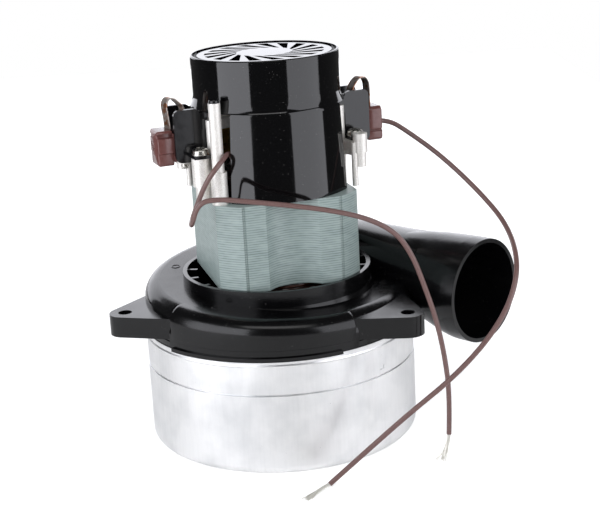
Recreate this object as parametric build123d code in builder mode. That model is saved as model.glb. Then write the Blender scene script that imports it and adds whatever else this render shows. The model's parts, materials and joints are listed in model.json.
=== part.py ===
"""Vacuum motor unit: a three stage tangential bypass blower with its brush motor on top."""

import os
from math import atan2, cos, degrees, pi, radians, sin, tan

from build123d import *

os.makedirs("parts", exist_ok=True)

# Frame: Z is the motor axis, up. The origin is the middle of the inlet in the flat bottom of the
# shell, and the discharge horn blows along +X.

# Clearances
PRESS_CLEARANCE = 0.01
RUN_CLEARANCE = 0.05
SEAT_CLEARANCE = 0.1
BODY_CLEARANCE = 0.3
LOOSE_CLEARANCE = 0.5
OVERRUN = 1.0

# Fan shell, two drawn steel cups
SHELL_RADIUS = 72.4
SHELL_WALL = 0.9
SHELL_SEAM_Z = 42.3
SHELL_TOP_Z = 61.5
SHELL_CORNER = 4.2
UPPER_SHELL_RADIUS = 72.1
SHELL_TUCK = 6.0
BEAD_Z = 57.6
BEAD_HEIGHT = 1.6
INLET_RADIUS = 23.0
INLET_LIP = 3.4
INLET_CORNER = 1.2
DIMPLE_AZIMUTH = 0.7
DIMPLE_WIDTH = 3.2
DIMPLE_HEIGHT = 2.2
DIMPLE_RISE = 3.4

# Working fans and the guide plates between them
FAN_RADIUS = 66.0
FAN_HEIGHT = 11.4
FAN_SHEET = 0.9
FAN_BLADES = 7
FAN_BLADE_TURN = 58.0
BLADE_BEND_SHARE = 0.36
FAN_EYE_RADIUS = 22.0
FAN_EYE_LIP = 1.6
FAN_GAP = 1.2
FIRST_FAN_Z = 5.4
BLADE_SHEET = 0.9
GUIDE_HEIGHT = 8.0
GUIDE_BLADES = 9
GUIDE_SHEET = 0.9
GUIDE_RING_WIDTH = 4.5
SPACER_RADIUS = 9.5
FAN_WASHER_RADIUS = 11.2
FAN_WASHER_HEIGHT = 0.9

# Shaft and bearings
SHAFT_RADIUS = 6.0
SHAFT_TOP_RADIUS = 4.0
SHAFT_BOTTOM_Z = 9.0
LOWER_BEARING_Z = 66.0
LOWER_BEARING_HEIGHT = 10.0
LOWER_BEARING_RADIUS = 16.0
UPPER_BEARING_Z = 176.5
UPPER_BEARING_HEIGHT = 7.0
UPPER_BEARING_RADIUS = 11.0
RACE_SHARE = 0.24
CAGE_SHARE = 0.33
BALL_COUNT = 8
FAN_NUT_RADIUS = 9.0
FAN_NUT_HEIGHT = 4.0

# Horn housing, one black moulding
HOUSING_RADIUS = 71.9
HOUSING_WALL = 2.2
GASKET_HEIGHT = 0.7
HOUSING_Z = SHELL_TOP_Z + GASKET_HEIGHT
FLOOR_THICKNESS = 2.6
SCROLL_INSET = 0.5
SCROLL_START = 58.0
SCROLL_TURN = 328.0
SCROLL_START_TOP = 78.5
SCROLL_END_TOP = 99.5
SCROLL_RISE_POWER = 1.8
SCROLL_TONGUE_SHARE = 0.1
SCROLL_SHOULDER = 8.0
SCROLL_INNER_RADIUS = 50.0
SCROLL_SECTIONS = 11
BAND_START = -95.0
BAND_TURN = 83.0
BAND_THICKNESS = 1.3
BAND_TOP_Z = 74.5
BAND_SHOULDER = 5.0
LIP_START = -93.0
LIP_TURN = 73.0
LIP_THICKNESS = 1.4
LIP_HEIGHT = 2.0
LIP_DROP = 0.9
COLLAR_RADIUS = 50.4
COLLAR_BORE = 48.2
COLLAR_TOP_Z = 90.0
COLLAR_FLARE_RADIUS = 52.9
COLLAR_STEP_Z = 81.7
COLLAR_STEP = 0.5
COLLAR_FLARE_Z = 76.0
RIB_COUNT = 18
RIB_THICKNESS = 2.0
RIB_TOP_Z = 73.5
SEAT_RIB_DEPTH = 4.6
HUB_WALL = 3.2
EAR_CIRCLE_RADIUS = 85.0
EAR_TIP_RADIUS = 8.2
EAR_HOLE_RADIUS = 3.6
EAR_AZIMUTH = 5.2
EAR_COUNT = 3
EAR_TOP_Z = 77.0
EAR_THICKNESS = 11.0
EAR_ROOT_WIDTH = 46.0
EAR_ROOT_RADIUS = 66.0

# Discharge horn
HORN_AXIS_Y = 65.0
HORN_AXIS_Z = 74.1
HORN_MOUTH_X = 89.5
HORN_RADIUS = 28.0
HORN_WALL = 2.2
HORN_COLLAR = 8.0
HORN_WAIST_X = 60.0
HORN_WAIST_RADIUS = 24.8
HORN_WAIST_RISE = 2.3
HORN_NECK_X = 73.5
HORN_NECK_RADIUS = 27.25
HORN_NECK_RISE = 0.5
HORN_ROOT_X = 30.0
HORN_ROOT_RADIUS = 20.5
HORN_ROOT_RISE = 2.9
HORN_ROOT_INSET = 3.0
HORN_TAIL_X = -3.0
HORN_TAIL_RADIUS = 13.0
HORN_TAIL_RISE = 4.4
HORN_TAIL_INSET = 7.2

# Field stack and coils
STACK_AZIMUTH = 59.7
STACK_Z = 88.5
STACK_HEIGHT = 45.0
STACK_WIDTH = 75.0
STACK_DEPTH = 80.0
STACK_CORNER_RADIUS = 47.8
STACK_BORE = 23.7
STACK_GROOVE_RADIUS = 18.5
STACK_GROOVE_DEPTH = 6.4
STACK_RIDGE_WIDTH = 1.6
STACK_RIDGE_DEPTH = 0.6
STACK_RIDGE_PLACE = 25.4
WINDOW_OUTER = 31.0
WINDOW_INNER = 13.0
WINDOW_LENGTH = 50.0
POLE_TIP = 2.8
COIL_THICKNESS = 4.2
COIL_LEG = 17.0
COIL_END_HEIGHT = 10.0
COIL_END_INNER = 27.0
COIL_END_OUTER = 33.5
LINER_THICKNESS = 0.4
COIL_START = 3.0
POLE_OPENING_SHARE = 1.0

# Armature
ARMATURE_RADIUS = 23.2
ARMATURE_SLOTS = 12
SLOT_WIDTH = 4.2
SLOT_DEPTH = 8.5
WINDING_END_HEIGHT = 10.0
WINDING_END_OUTER = 21.0
WINDING_END_INNER = 10.0
COMMUTATOR_RADIUS = 14.5
COMMUTATOR_RISER = 16.2
COMMUTATOR_Z = 147.0
COMMUTATOR_HEIGHT = 22.0
COMMUTATOR_BARS = 22
BAR_GAP = 0.6
BAR_GAP_DEPTH = 0.8
RISER_HEIGHT = 2.5
COMMUTATOR_BUSH = 9.0

# Brush gear: S runs along the brushes, from the left one to the right one as seen from the front
BRUSH_AZIMUTH = 64.7
BRUSH_Z = 161.4
BRUSH_HEIGHT = 11.0
BRUSH_WIDTH = 6.4
BRUSH_LENGTH = 26.0
BRUSH_TRAVEL = 3.0
BRUSH_TUBE_WALL = 0.8
BRUSH_TUBE_START = 18.5
BRUSH_TUBE_END = 56.0
BRUSH_CAP = 1.0
SPRING_RADIUS = 2.5
SPRING_WIRE = 0.5
SPRING_TURNS = 4
SPRING_WIRE_SIDES = 4
BLOCK_END = 62.0
BLOCK_START = 34.0
BLOCK_WIDTH = 14.0
BLOCK_HEIGHT = 18.0
BLOCK_HEAD_START = 53.8
BLOCK_GROOVES = ((6.0, 3.0), (-4.0, 0.8))
BLOCK_GROOVE_DEPTH = 0.6
BLOCK_NECK_WIDTH = 14.4
BLOCK_NECK_HEIGHT = 14.6
CLAMP_START = 39.7
CLAMP_END = 53.4
CLAMP_WIDTH = 19.0
CLAMP_BOTTOM_Z = 153.6
CLAMP_TOP_Z = 180.6
CLAMP_WALL = 2.0
CLAMP_WEB_Z = 169.0
CLAMP_TAB_START = 35.8
CLAMP_TAB_Z = 169.6
CLAMP_TAB_HEIGHT = 8.8
CLAMP_CORNER = 3.0
CLAMP_LUG_REACH = 8.4
CLAMP_LUG_THICKNESS = 1.8
STRAP_WIDTH = 5.0
STRAP_THICKNESS = 0.6
STRAP_PEAK_Z = 186.0
STRAP_LOOP_RADIUS = 3.6
STRAP_INNER_S = 46.6
STRAP_OUTER_S = 55.4

# Die cast bracket over the commutator
BRACKET_ARM_Z = 169.6
BRACKET_ARM_HEIGHT = 5.0
BRACKET_ARM_WIDTH = 5.8
BRACKET_LEG_RADIUS = 2.9
BRACKET_LEG_CIRCLE = 36.9
BRACKET_CUP_WALL = 3.0
BOSS_RADIUS = 4.8
BOSS_S = 42.4
BOSS_T = 15.4
BOSS_TOP_Z = 156.5
BOSS_FOOT_Z = 148.5
POST_BOSS_FOOT_Z = 142.0
POST_BOSS_RADIUS = 3.6
BOSS_WEB_WIDTH = 4.4
POST_RADIUS = 3.1
POST_TOP_Z = 185.0
POST_BASE_RADIUS = 4.2
POST_BASE_TOP_Z = 150.0
POST_CIRCLE_RADIUS = 43.2
POST_ANGLE = 213.4
BOLT_AZIMUTH = BRUSH_AZIMUTH + POST_ANGLE
STUB_S = 41.2
STUB_T = 24.6
STUB_RADIUS = 3.75
STUB_TOP_Z = 161.0
STUB_STEP_Z = 151.0
STUB_LOWER_RADIUS = 2.9
STUB_BOTTOM_Z = 143.5
STUB_BORE = 1.5
STUB_LEG_S = 37.8
STUB_LEG_RADIUS = 1.6

# Screws
BOSS_SCREW_HEAD_RADIUS = 4.0
BOSS_SCREW_HEAD_HEIGHT = 3.0
BOSS_SCREW_RADIUS = 1.9
SCREW_HEAD_TAPER = 22
BOSS_SCREW_LENGTH = 11.0
BOSS_WASHER_RADIUS = 4.4
BOSS_WASHER_HEIGHT = 0.8
THROUGH_BOLT_RADIUS = 1.9
THROUGH_BOLT_DEPTH = 10.0
THROUGH_BOLT_INSET = 4.0
BOLT_BOSS_RADIUS = 5.6

# Fan cover, one black moulding
COVER_RADIUS = 38.4
COVER_WALL = 1.8
COVER_TOP_Z = 205.0
COVER_RIM = 0.7
COVER_RIM_WALL = 1.0
COVER_STEP_Z = 185.5
COVER_STEP_HEIGHT = 8.3
COVER_FLARE_RADIUS = 39.9
COVER_FLARE_Z = 179.4
SKIRT_TOP_RADIUS = 40.6
SKIRT_RADIUS = 42.0
SKIRT_HALF_OPENING = 27.8
SIDE_OPENING_TOP_Z = 178.8
GRILLE_Z = 202.6
GRILLE_THICKNESS = 1.8
GRILLE_RADIUS = 34.9
GUTTER_DEPTH = 1.5
GUTTER_FLOOR_Z = 201.2
SLOT_COUNT = 17
SLOT_INNER_RADIUS = 14.6
SLOT_OUTER_RADIUS = 31.2
SLOT_TURN = 31.0
SLOT_SHARE = 0.55

# Supply leads: brown insulation over tinned strands, with hand chosen routes, end to end
LEAD_RADIUS = 1.3
LEAD_SOCKET_DEPTH = 2.0
STRANDS_RADIUS = 0.8
STRANDS_INSET = 0.5
BEND_SHARE = 0.45
LEAD_RIGHT_ROUTE = (
    (25.7, 54.4, 161.4),
    (29.3, 61.9, 161.0),
    (38.7, 66.9, 154.4),
    (59.5, 69.6, 142.7),
    (84.8, 68.7, 126.6),
    (106.7, 62.9, 113.1),
    (128.0, 42.3, 102.0),
    (131.9, 30.7, 86.1),
    (127.5, 18.2, 69.1),
    (117.1, 2.6, 51.1),
    (102.3, -14.8, 33.9),
    (88.6, -30.9, 16.5),
    (78.0, -48.2, 1.5),
)
LEAD_RIGHT_TIP = (69.5, -63.6, 1.0)
LEAD_LEFT_ROUTE = (
    (6.3, -30.3, 143.9),
    (6.8, -32.9, 161.0),
    (14.0, -49.3, 156.0),
    (8.3, -54.5, 146.5),
    (-2.1, -55.8, 126.8),
    (13.4, -70.0, 128.2),
    (18.2, -68.7, 141.1),
    (24.7, -61.3, 142.4),
    (35.1, -48.5, 139.6),
    (48.9, -32.9, 136.1),
    (61.2, -17.5, 131.9),
    (71.7, -3.8, 126.3),
    (80.3, 6.4, 118.0),
    (86.2, 11.0, 105.9),
    (91.4, 12.7, 91.7),
    (97.5, 14.0, 74.7),
    (102.2, 14.5, 55.3),
    (104.9, 14.4, 34.3),
    (105.2, 12.6, 14.3),
)
LEAD_LEFT_TIP = (102.9, 8.3, 1.0)

# Cooling fan
COOLER_Z = 187.0
COOLER_HEIGHT = 11.0
COOLER_RADIUS = 34.5
COOLER_DISC = 1.4
COOLER_HUB_RADIUS = 8.0
COOLER_BLADES = 12
COOLER_BLADE = 1.3


def polar(radius, azimuth):
    """A point on a circle about the motor axis."""
    return radius * cos(radians(azimuth)), radius * sin(radians(azimuth))


def turned_plane(azimuth, height=0.0):
    """A level plane whose X points along an azimuth."""
    return Plane((0, 0, height), x_dir=(*polar(1, azimuth), 0), z_dir=(0, 0, 1))


def radial_plane(azimuth):
    """An upright plane through the motor axis: X goes outward, Y goes up."""
    return Plane((0, 0, 0), x_dir=(*polar(1, azimuth), 0), z_dir=(*polar(1, azimuth - 90), 0))


def head_plane(height=0.0):
    """The level plane of the brush gear: X along the brushes, Y away from the front."""
    return turned_plane(BRUSH_AZIMUTH, height)


def along_brush(side, distance):
    """A plane square to the brushes at a distance from the axis: X sideways, Y up."""
    azimuth = BRUSH_AZIMUTH if side > 0 else BRUSH_AZIMUTH + 180
    origin = (*polar(distance, azimuth), BRUSH_Z)
    return Plane(origin, x_dir=(*polar(1, azimuth - 90), 0), z_dir=(*polar(1, azimuth), 0))


def save(piece, name):
    """Labels a finished piece and writes it."""
    piece.part.label = name
    export_step(piece.part, f"parts/{name}.step")


# Lower fan shell
shell_inner = SHELL_RADIUS - SHELL_WALL
with BuildPart() as lower_fan_shell:
    with BuildSketch(Plane.XZ):
        with BuildLine():
            FilletPolyline(
                (INLET_RADIUS, INLET_LIP),
                (INLET_RADIUS, 0),
                (SHELL_RADIUS, 0),
                (SHELL_RADIUS, SHELL_SEAM_Z),
                radius=(INLET_CORNER, SHELL_CORNER),
            )
            offset(amount=SHELL_WALL, side=Side.LEFT)
        make_face()
    revolve(axis=Axis.Z)
save(lower_fan_shell, "lower_fan_shell")

# Upper fan shell, tucked into the lower one below the seam
tuck_radius = shell_inner - RUN_CLEARANCE
tuck_inner = tuck_radius - SHELL_WALL
joggle_z = SHELL_SEAM_Z + SHELL_WALL
with BuildPart() as upper_fan_shell:
    with BuildSketch(Plane.XZ):
        with BuildLine():
            Polyline(
                (tuck_inner, SHELL_SEAM_Z - SHELL_TUCK),
                (tuck_radius, SHELL_SEAM_Z - SHELL_TUCK),
                (tuck_radius, SHELL_SEAM_Z),
                (UPPER_SHELL_RADIUS, joggle_z),
                (UPPER_SHELL_RADIUS, BEAD_Z),
                (SHELL_RADIUS, BEAD_Z + BEAD_HEIGHT / 2),
                (UPPER_SHELL_RADIUS, BEAD_Z + BEAD_HEIGHT),
                (UPPER_SHELL_RADIUS, SHELL_TOP_Z),
                (tuck_inner, SHELL_TOP_Z),
                close=True,
            )
        make_face()
    revolve(axis=Axis.Z)
    with BuildSketch(turned_plane(DIMPLE_AZIMUTH, SHELL_SEAM_Z + DIMPLE_RISE)):
        with Locations((UPPER_SHELL_RADIUS, 0)):
            Rectangle(SHELL_WALL, DIMPLE_WIDTH)
    extrude(amount=DIMPLE_HEIGHT, mode=Mode.SUBTRACT)
save(upper_fan_shell, "upper_fan_shell")

# Stations of the fans and of the guide plates between them, from the inlet up
stage_pitch = FAN_HEIGHT + GUIDE_HEIGHT + FAN_GAP * 2
fan_stations = [FIRST_FAN_Z + stage_pitch * index for index in range(3)]
guide_stations = [station + FAN_HEIGHT + FAN_GAP for station in fan_stations[:2]]


def blade_outline(inner, outer, turn, thickness):
    """A curved blade as a thin strip between two radii, swept by an angle."""
    middle = (inner + outer) / 2
    bend = turn * BLADE_BEND_SHARE
    step = degrees(thickness / middle)
    with BuildSketch(Plane.XY) as outline:
        with BuildLine():
            ThreePointArc(polar(inner, 0), polar(middle, bend), polar(outer, turn))
            Line(polar(outer, turn), polar(outer, turn + step))
            ThreePointArc(polar(outer, turn + step), polar(middle, bend + step), polar(inner, step))
            Line(polar(inner, step), polar(inner, 0))
        make_face()
    return outline.sketch


# Working fans: a flat back plate above, a ring plate with the eye below, curved blades between
shaft_fit = SHAFT_RADIUS + RUN_CLEARANCE
blade_start = FAN_EYE_RADIUS + FAN_SHEET
fan_blade = blade_outline(blade_start, FAN_RADIUS - FAN_SHEET, FAN_BLADE_TURN, BLADE_SHEET)
for number, station in enumerate(fan_stations, start=1):
    with BuildPart() as impeller:
        with BuildSketch(Plane.XZ):
            with BuildLine():
                Polyline(
                    (FAN_EYE_RADIUS, station - FAN_EYE_LIP),
                    (FAN_EYE_RADIUS + FAN_SHEET, station - FAN_EYE_LIP),
                    (FAN_EYE_RADIUS + FAN_SHEET, station),
                    (FAN_RADIUS, station + FAN_SHEET),
                    (FAN_RADIUS, station + FAN_SHEET * 2),
                    (FAN_EYE_RADIUS, station + FAN_SHEET),
                    close=True,
                )
            make_face()
        revolve(axis=Axis.Z)
        with BuildSketch(Plane.XY.offset(station + FAN_HEIGHT - FAN_SHEET)):
            Circle(FAN_RADIUS)
            Circle(shaft_fit, mode=Mode.SUBTRACT)
        extrude(amount=FAN_SHEET)
        with BuildSketch(Plane.XY.offset(station + FAN_SHEET * 3 / 2)):
            with PolarLocations(0, FAN_BLADES):
                add(fan_blade)
        extrude(amount=FAN_HEIGHT - FAN_SHEET * 5 / 2)
    save(impeller, f"impeller_{number}")

# Guide plates, pressed into the shells: a plate under curved vanes that lead back to the eye
guide_outer = [shell_inner - RUN_CLEARANCE, tuck_inner - RUN_CLEARANCE]
eye_clear = FAN_EYE_RADIUS + FAN_SHEET + LOOSE_CLEARANCE
guide_rim = FAN_RADIUS - GUIDE_RING_WIDTH
guide_blade = blade_outline(eye_clear + GUIDE_SHEET, guide_rim, -FAN_BLADE_TURN, BLADE_SHEET)
for number, (station, outer) in enumerate(zip(guide_stations, guide_outer), start=1):
    with BuildPart() as guide:
        with BuildSketch(Plane.XY.offset(station + GUIDE_HEIGHT - GUIDE_SHEET)):
            Circle(outer)
            Circle(eye_clear, mode=Mode.SUBTRACT)
        extrude(amount=GUIDE_SHEET)
        with BuildSketch(Plane.XY.offset(station)):
            Circle(guide_rim)
            Circle(SPACER_RADIUS + BODY_CLEARANCE, mode=Mode.SUBTRACT)
        extrude(amount=GUIDE_SHEET)
        with BuildSketch(Plane.XY.offset(station + GUIDE_SHEET)):
            with PolarLocations(0, GUIDE_BLADES):
                add(guide_blade)
        extrude(amount=GUIDE_HEIGHT - GUIDE_SHEET * 2)
    save(guide, f"guide_plate_{number}")

# Shaft, stepped down above the commutator
shaft_step_z = UPPER_BEARING_Z - LOOSE_CLEARANCE
with BuildPart() as shaft:
    with BuildSketch(Plane.XY.offset(SHAFT_BOTTOM_Z)):
        Circle(SHAFT_RADIUS)
    extrude(amount=shaft_step_z - SHAFT_BOTTOM_Z)
    with BuildSketch(Plane.XY.offset(shaft_step_z)):
        Circle(SHAFT_TOP_RADIUS)
    extrude(amount=COOLER_Z + COOLER_HEIGHT - shaft_step_z)
save(shaft, "shaft")

# Spacer tubes that the fan nut clamps between the fans
with BuildPart() as fan_spacers:
    for station in fan_stations:
        top = station + FAN_HEIGHT
        following = station + stage_pitch + FAN_HEIGHT - FAN_SHEET
        if station == fan_stations[-1]:
            following = LOWER_BEARING_Z
        with BuildSketch(Plane.XY.offset(top)):
            Circle(SPACER_RADIUS)
            Circle(shaft_fit, mode=Mode.SUBTRACT)
        extrude(amount=following - top)
save(fan_spacers, "fan_spacers")

# Fan nut and its washer at the inlet end
nut_z = fan_stations[0] + FAN_HEIGHT - FAN_SHEET
with BuildPart() as fan_washer:
    with BuildSketch(Plane.XY.offset(nut_z - FAN_WASHER_HEIGHT)):
        Circle(FAN_WASHER_RADIUS)
        Circle(shaft_fit, mode=Mode.SUBTRACT)
    extrude(amount=FAN_WASHER_HEIGHT)
save(fan_washer, "fan_washer")

with BuildPart() as fan_nut:
    with BuildSketch(Plane.XY.offset(nut_z - FAN_WASHER_HEIGHT - FAN_NUT_HEIGHT)):
        RegularPolygon(FAN_NUT_RADIUS, 6)
        Circle(shaft_fit, mode=Mode.SUBTRACT)
    extrude(amount=FAN_NUT_HEIGHT)
save(fan_nut, "fan_nut")


# Ball bearings: outer race, caged balls and inner race
def bearing(name, base_z, height, outer, bore):
    """Writes the three pieces of one ball bearing."""
    race = (outer - bore) * RACE_SHARE
    track = (outer + bore) / 2
    gap = outer - bore - race * 2
    ball = gap / 2 - RUN_CLEARANCE * 2
    middle_z = base_z + height / 2
    with BuildPart() as outer_race:
        with BuildSketch(Plane.XY.offset(base_z)):
            Circle(outer)
            Circle(outer - race, mode=Mode.SUBTRACT)
        extrude(amount=height)
    save(outer_race, f"{name}_outer_race")
    with BuildPart() as inner_race:
        with BuildSketch(Plane.XY.offset(base_z)):
            Circle(bore + race)
            Circle(bore + RUN_CLEARANCE, mode=Mode.SUBTRACT)
        extrude(amount=height)
    save(inner_race, f"{name}_inner_race")
    with BuildPart() as balls:
        with BuildSketch(Plane.XY.offset(middle_z - ball / 2)):
            Circle(track + ball * CAGE_SHARE)
            Circle(track - ball * CAGE_SHARE, mode=Mode.SUBTRACT)
        extrude(amount=ball)
        with Locations((0, 0, middle_z)):
            with PolarLocations(track, BALL_COUNT):
                Sphere(ball)
    save(balls, f"{name}_balls")


bearing("lower_bearing", LOWER_BEARING_Z, LOWER_BEARING_HEIGHT, LOWER_BEARING_RADIUS, SHAFT_RADIUS)
bearing(
    "upper_bearing", UPPER_BEARING_Z, UPPER_BEARING_HEIGHT, UPPER_BEARING_RADIUS, SHAFT_TOP_RADIUS
)


# Horn housing
def scroll_top(share):
    """Height of the scroll's roof at a share of its turn."""
    return SCROLL_START_TOP + (SCROLL_END_TOP - SCROLL_START_TOP) * share**SCROLL_RISE_POWER


def scroll_section(share, inset, floor_z):
    """One radial section of the scroll, drawn in by an inset."""
    outer = HOUSING_RADIUS - SCROLL_INSET - inset
    inner = SCROLL_INNER_RADIUS + inset
    top = scroll_top(share) - inset
    shoulder = SCROLL_SHOULDER - inset
    with BuildSketch(radial_plane(SCROLL_START - SCROLL_TURN * share)) as section:
        with BuildLine():
            Line((inner, floor_z), (outer, floor_z))
            Line((outer, floor_z), (outer, top - shoulder))
            RadiusArc((outer, top - shoulder), (outer - shoulder, top), -shoulder)
            Line((outer - shoulder, top), (inner, top))
            Line((inner, top), (inner, floor_z))
        make_face()
    return section.sketch


def horn_sections(inset):
    """The round sections of the horn, from its tail in the scroll to its straight collar."""
    table = (
        (HORN_TAIL_X, HORN_TAIL_RADIUS, HORN_TAIL_INSET, HORN_TAIL_RISE),
        (HORN_ROOT_X, HORN_ROOT_RADIUS, HORN_ROOT_INSET, HORN_ROOT_RISE),
        (HORN_WAIST_X, HORN_WAIST_RADIUS, 0, HORN_WAIST_RISE),
        (HORN_NECK_X, HORN_NECK_RADIUS, 0, HORN_NECK_RISE),
        (HORN_MOUTH_X - HORN_COLLAR, HORN_RADIUS, 0, 0),
    )
    sections = []
    for place_x, radius, shift, rise in table:
        level = (place_x, HORN_AXIS_Y - shift, HORN_AXIS_Z + rise)
        with BuildSketch(Plane(level, x_dir=(0, 1, 0), z_dir=(1, 0, 0))) as section:
            Circle(radius - inset)
        sections.append(section.sketch)
    return sections


horn_collar_start = (HORN_MOUTH_X - HORN_COLLAR, HORN_AXIS_Y, HORN_AXIS_Z)
horn_collar_plane = Plane(horn_collar_start, x_dir=(0, 1, 0), z_dir=(1, 0, 0))
with BuildPart() as horn_void:
    loft(horn_sections(HORN_WALL))
    with BuildSketch(horn_collar_plane):
        Circle(HORN_RADIUS - HORN_WALL)
    extrude(amount=HORN_COLLAR + OVERRUN)
    with BuildSketch(Plane.XY):
        Circle(SHELL_RADIUS + LOOSE_CLEARANCE + HORN_WALL)
    extrude(amount=HOUSING_Z + HORN_WALL, mode=Mode.SUBTRACT)
    with BuildSketch(Plane.XY):
        Circle(SCROLL_INNER_RADIUS + HOUSING_WALL + SCROLL_INSET)
    extrude(amount=HORN_AXIS_Z * 2, mode=Mode.SUBTRACT)
horn_bore = horn_void.part

hub_radius = LOWER_BEARING_RADIUS + HUB_WALL
floor_top = HOUSING_Z + FLOOR_THICKNESS
hub_top = LOWER_BEARING_Z + LOWER_BEARING_HEIGHT
shares = [index / (SCROLL_SECTIONS - 1) for index in range(SCROLL_SECTIONS)]
channel_shares = [SCROLL_TONGUE_SHARE, *shares[2:]]
channel = [scroll_section(share, HOUSING_WALL, HOUSING_Z - OVERRUN) for share in channel_shares]
band_inner = HOUSING_RADIUS - HOUSING_WALL
band_radius = HOUSING_RADIUS + BAND_THICKNESS
lip_radius = band_radius + LIP_THICKNESS
with BuildPart() as horn_housing:
    # Scroll wall and the floor under it
    loft([scroll_section(share, 0, HOUSING_Z) for share in shares])
    with BuildSketch(Plane.XY.offset(HOUSING_Z)):
        Circle(HOUSING_RADIUS)
    extrude(amount=FLOOR_THICKNESS)
    loft(horn_sections(0))
    with BuildSketch(horn_collar_plane):
        Circle(HORN_RADIUS)
    extrude(amount=HORN_COLLAR)
    # Mounting ears
    with BuildSketch(Plane.XY.offset(EAR_TOP_Z - EAR_THICKNESS)):
        for index in range(EAR_COUNT):
            with BuildSketch(mode=Mode.PRIVATE) as lug:
                with Locations((EAR_CIRCLE_RADIUS, 0)):
                    Circle(EAR_TIP_RADIUS)
                with Locations((EAR_ROOT_RADIUS, 0)):
                    Rectangle(HOUSING_WALL, EAR_ROOT_WIDTH)
                make_hull()
            add(lug.sketch.rotate(Axis.Z, EAR_AZIMUTH + index * 360 / EAR_COUNT))
    extrude(amount=EAR_THICKNESS)
    # Thicker band across the front and the lip along its foot
    with BuildSketch(radial_plane(BAND_START)):
        with BuildLine():
            Line((band_inner, HOUSING_Z), (band_radius, HOUSING_Z))
            Line((band_radius, HOUSING_Z), (band_radius, BAND_TOP_Z - BAND_SHOULDER))
            RadiusArc(
                (band_radius, BAND_TOP_Z - BAND_SHOULDER),
                (band_inner, BAND_TOP_Z),
                -BAND_SHOULDER,
            )
            Line((band_inner, BAND_TOP_Z), (band_inner, HOUSING_Z))
        make_face()
    revolve(axis=Axis.Z, revolution_arc=BAND_TURN)
    # Clear of the shell below and of the collar's bore
    with BuildSketch(Plane.XY):
        Circle(SHELL_RADIUS + LOOSE_CLEARANCE)
    extrude(amount=HOUSING_Z, mode=Mode.SUBTRACT)
    # The air channel
    loft(channel, mode=Mode.SUBTRACT)
    add(horn_bore, mode=Mode.SUBTRACT)
    with BuildSketch(radial_plane(LIP_START)):
        with Locations((lip_radius - LIP_THICKNESS, HOUSING_Z - LIP_DROP + LIP_HEIGHT / 2)):
            Rectangle(LIP_THICKNESS * 2, LIP_HEIGHT)
    revolve(axis=Axis.Z, revolution_arc=LIP_TURN)
    # Collar, hub and floor
    with BuildSketch(Plane.XZ):
        with BuildLine():
            Polyline(
                (0, HOUSING_Z),
                (COLLAR_FLARE_RADIUS, HOUSING_Z),
                (COLLAR_FLARE_RADIUS, COLLAR_FLARE_Z),
                (COLLAR_RADIUS + COLLAR_STEP, COLLAR_STEP_Z),
                (COLLAR_RADIUS, COLLAR_STEP_Z),
                (COLLAR_RADIUS, COLLAR_TOP_Z),
                (0, COLLAR_TOP_Z),
                close=True,
            )
        make_face()
    revolve(axis=Axis.Z)
    with BuildSketch(Plane.XY.offset(floor_top)):
        Circle(COLLAR_BORE)
    extrude(amount=SCROLL_END_TOP, mode=Mode.SUBTRACT)
    with BuildSketch(Plane.XY.offset(floor_top)):
        Circle(hub_radius)
    extrude(amount=hub_top - floor_top)
    with BuildSketch(Plane.XY.offset(floor_top)):
        with PolarLocations((hub_radius + COLLAR_BORE) / 2, RIB_COUNT):
            Rectangle(COLLAR_BORE - hub_radius + HUB_WALL, RIB_THICKNESS)
    extrude(amount=RIB_TOP_Z - floor_top)
    with BuildSketch(Plane.XY.offset(floor_top)):
        with PolarLocations(COLLAR_BORE - SEAT_RIB_DEPTH / 2, RIB_COUNT):
            Rectangle(SEAT_RIB_DEPTH + HOUSING_WALL / 2, RIB_THICKNESS)
    extrude(amount=STACK_Z - floor_top)
    # Bosses for the two long bolts
    with BuildSketch(turned_plane(BOLT_AZIMUTH, floor_top)):
        with PolarLocations(POST_CIRCLE_RADIUS, 2):
            Circle(BOLT_BOSS_RADIUS)
    extrude(amount=STACK_Z - floor_top)
    with BuildSketch(turned_plane(BOLT_AZIMUTH, STACK_Z - THROUGH_BOLT_DEPTH)):
        with PolarLocations(POST_CIRCLE_RADIUS, 2):
            Circle(THROUGH_BOLT_RADIUS + SEAT_CLEARANCE)
    extrude(amount=THROUGH_BOLT_DEPTH, mode=Mode.SUBTRACT)
    # Bearing pocket and shaft hole
    with BuildSketch(Plane.XY.offset(LOWER_BEARING_Z)):
        Circle(LOWER_BEARING_RADIUS + PRESS_CLEARANCE)
    extrude(amount=SCROLL_END_TOP, mode=Mode.SUBTRACT)
    with BuildSketch(Plane.XY.offset(HOUSING_Z)):
        Circle(SPACER_RADIUS + LOOSE_CLEARANCE)
    extrude(amount=LOWER_BEARING_Z - HOUSING_Z + OVERRUN, mode=Mode.SUBTRACT)
    # Ear holes
    with BuildSketch(Plane.XY.offset(EAR_TOP_Z - EAR_THICKNESS)):
        with PolarLocations(EAR_CIRCLE_RADIUS, EAR_COUNT, start_angle=EAR_AZIMUTH):
            Circle(EAR_HOLE_RADIUS)
    extrude(amount=EAR_THICKNESS, mode=Mode.SUBTRACT)
save(horn_housing, "horn_housing")

# Gasket on the rim of the upper shell
with BuildPart() as housing_gasket:
    with BuildSketch(Plane.XY.offset(SHELL_TOP_Z)):
        Circle(HOUSING_RADIUS - SEAT_CLEARANCE)
        Circle(HOUSING_RADIUS - HOUSING_WALL, mode=Mode.SUBTRACT)
    extrude(amount=HOUSING_Z - SHELL_TOP_Z)
save(housing_gasket, "housing_gasket")

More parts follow.
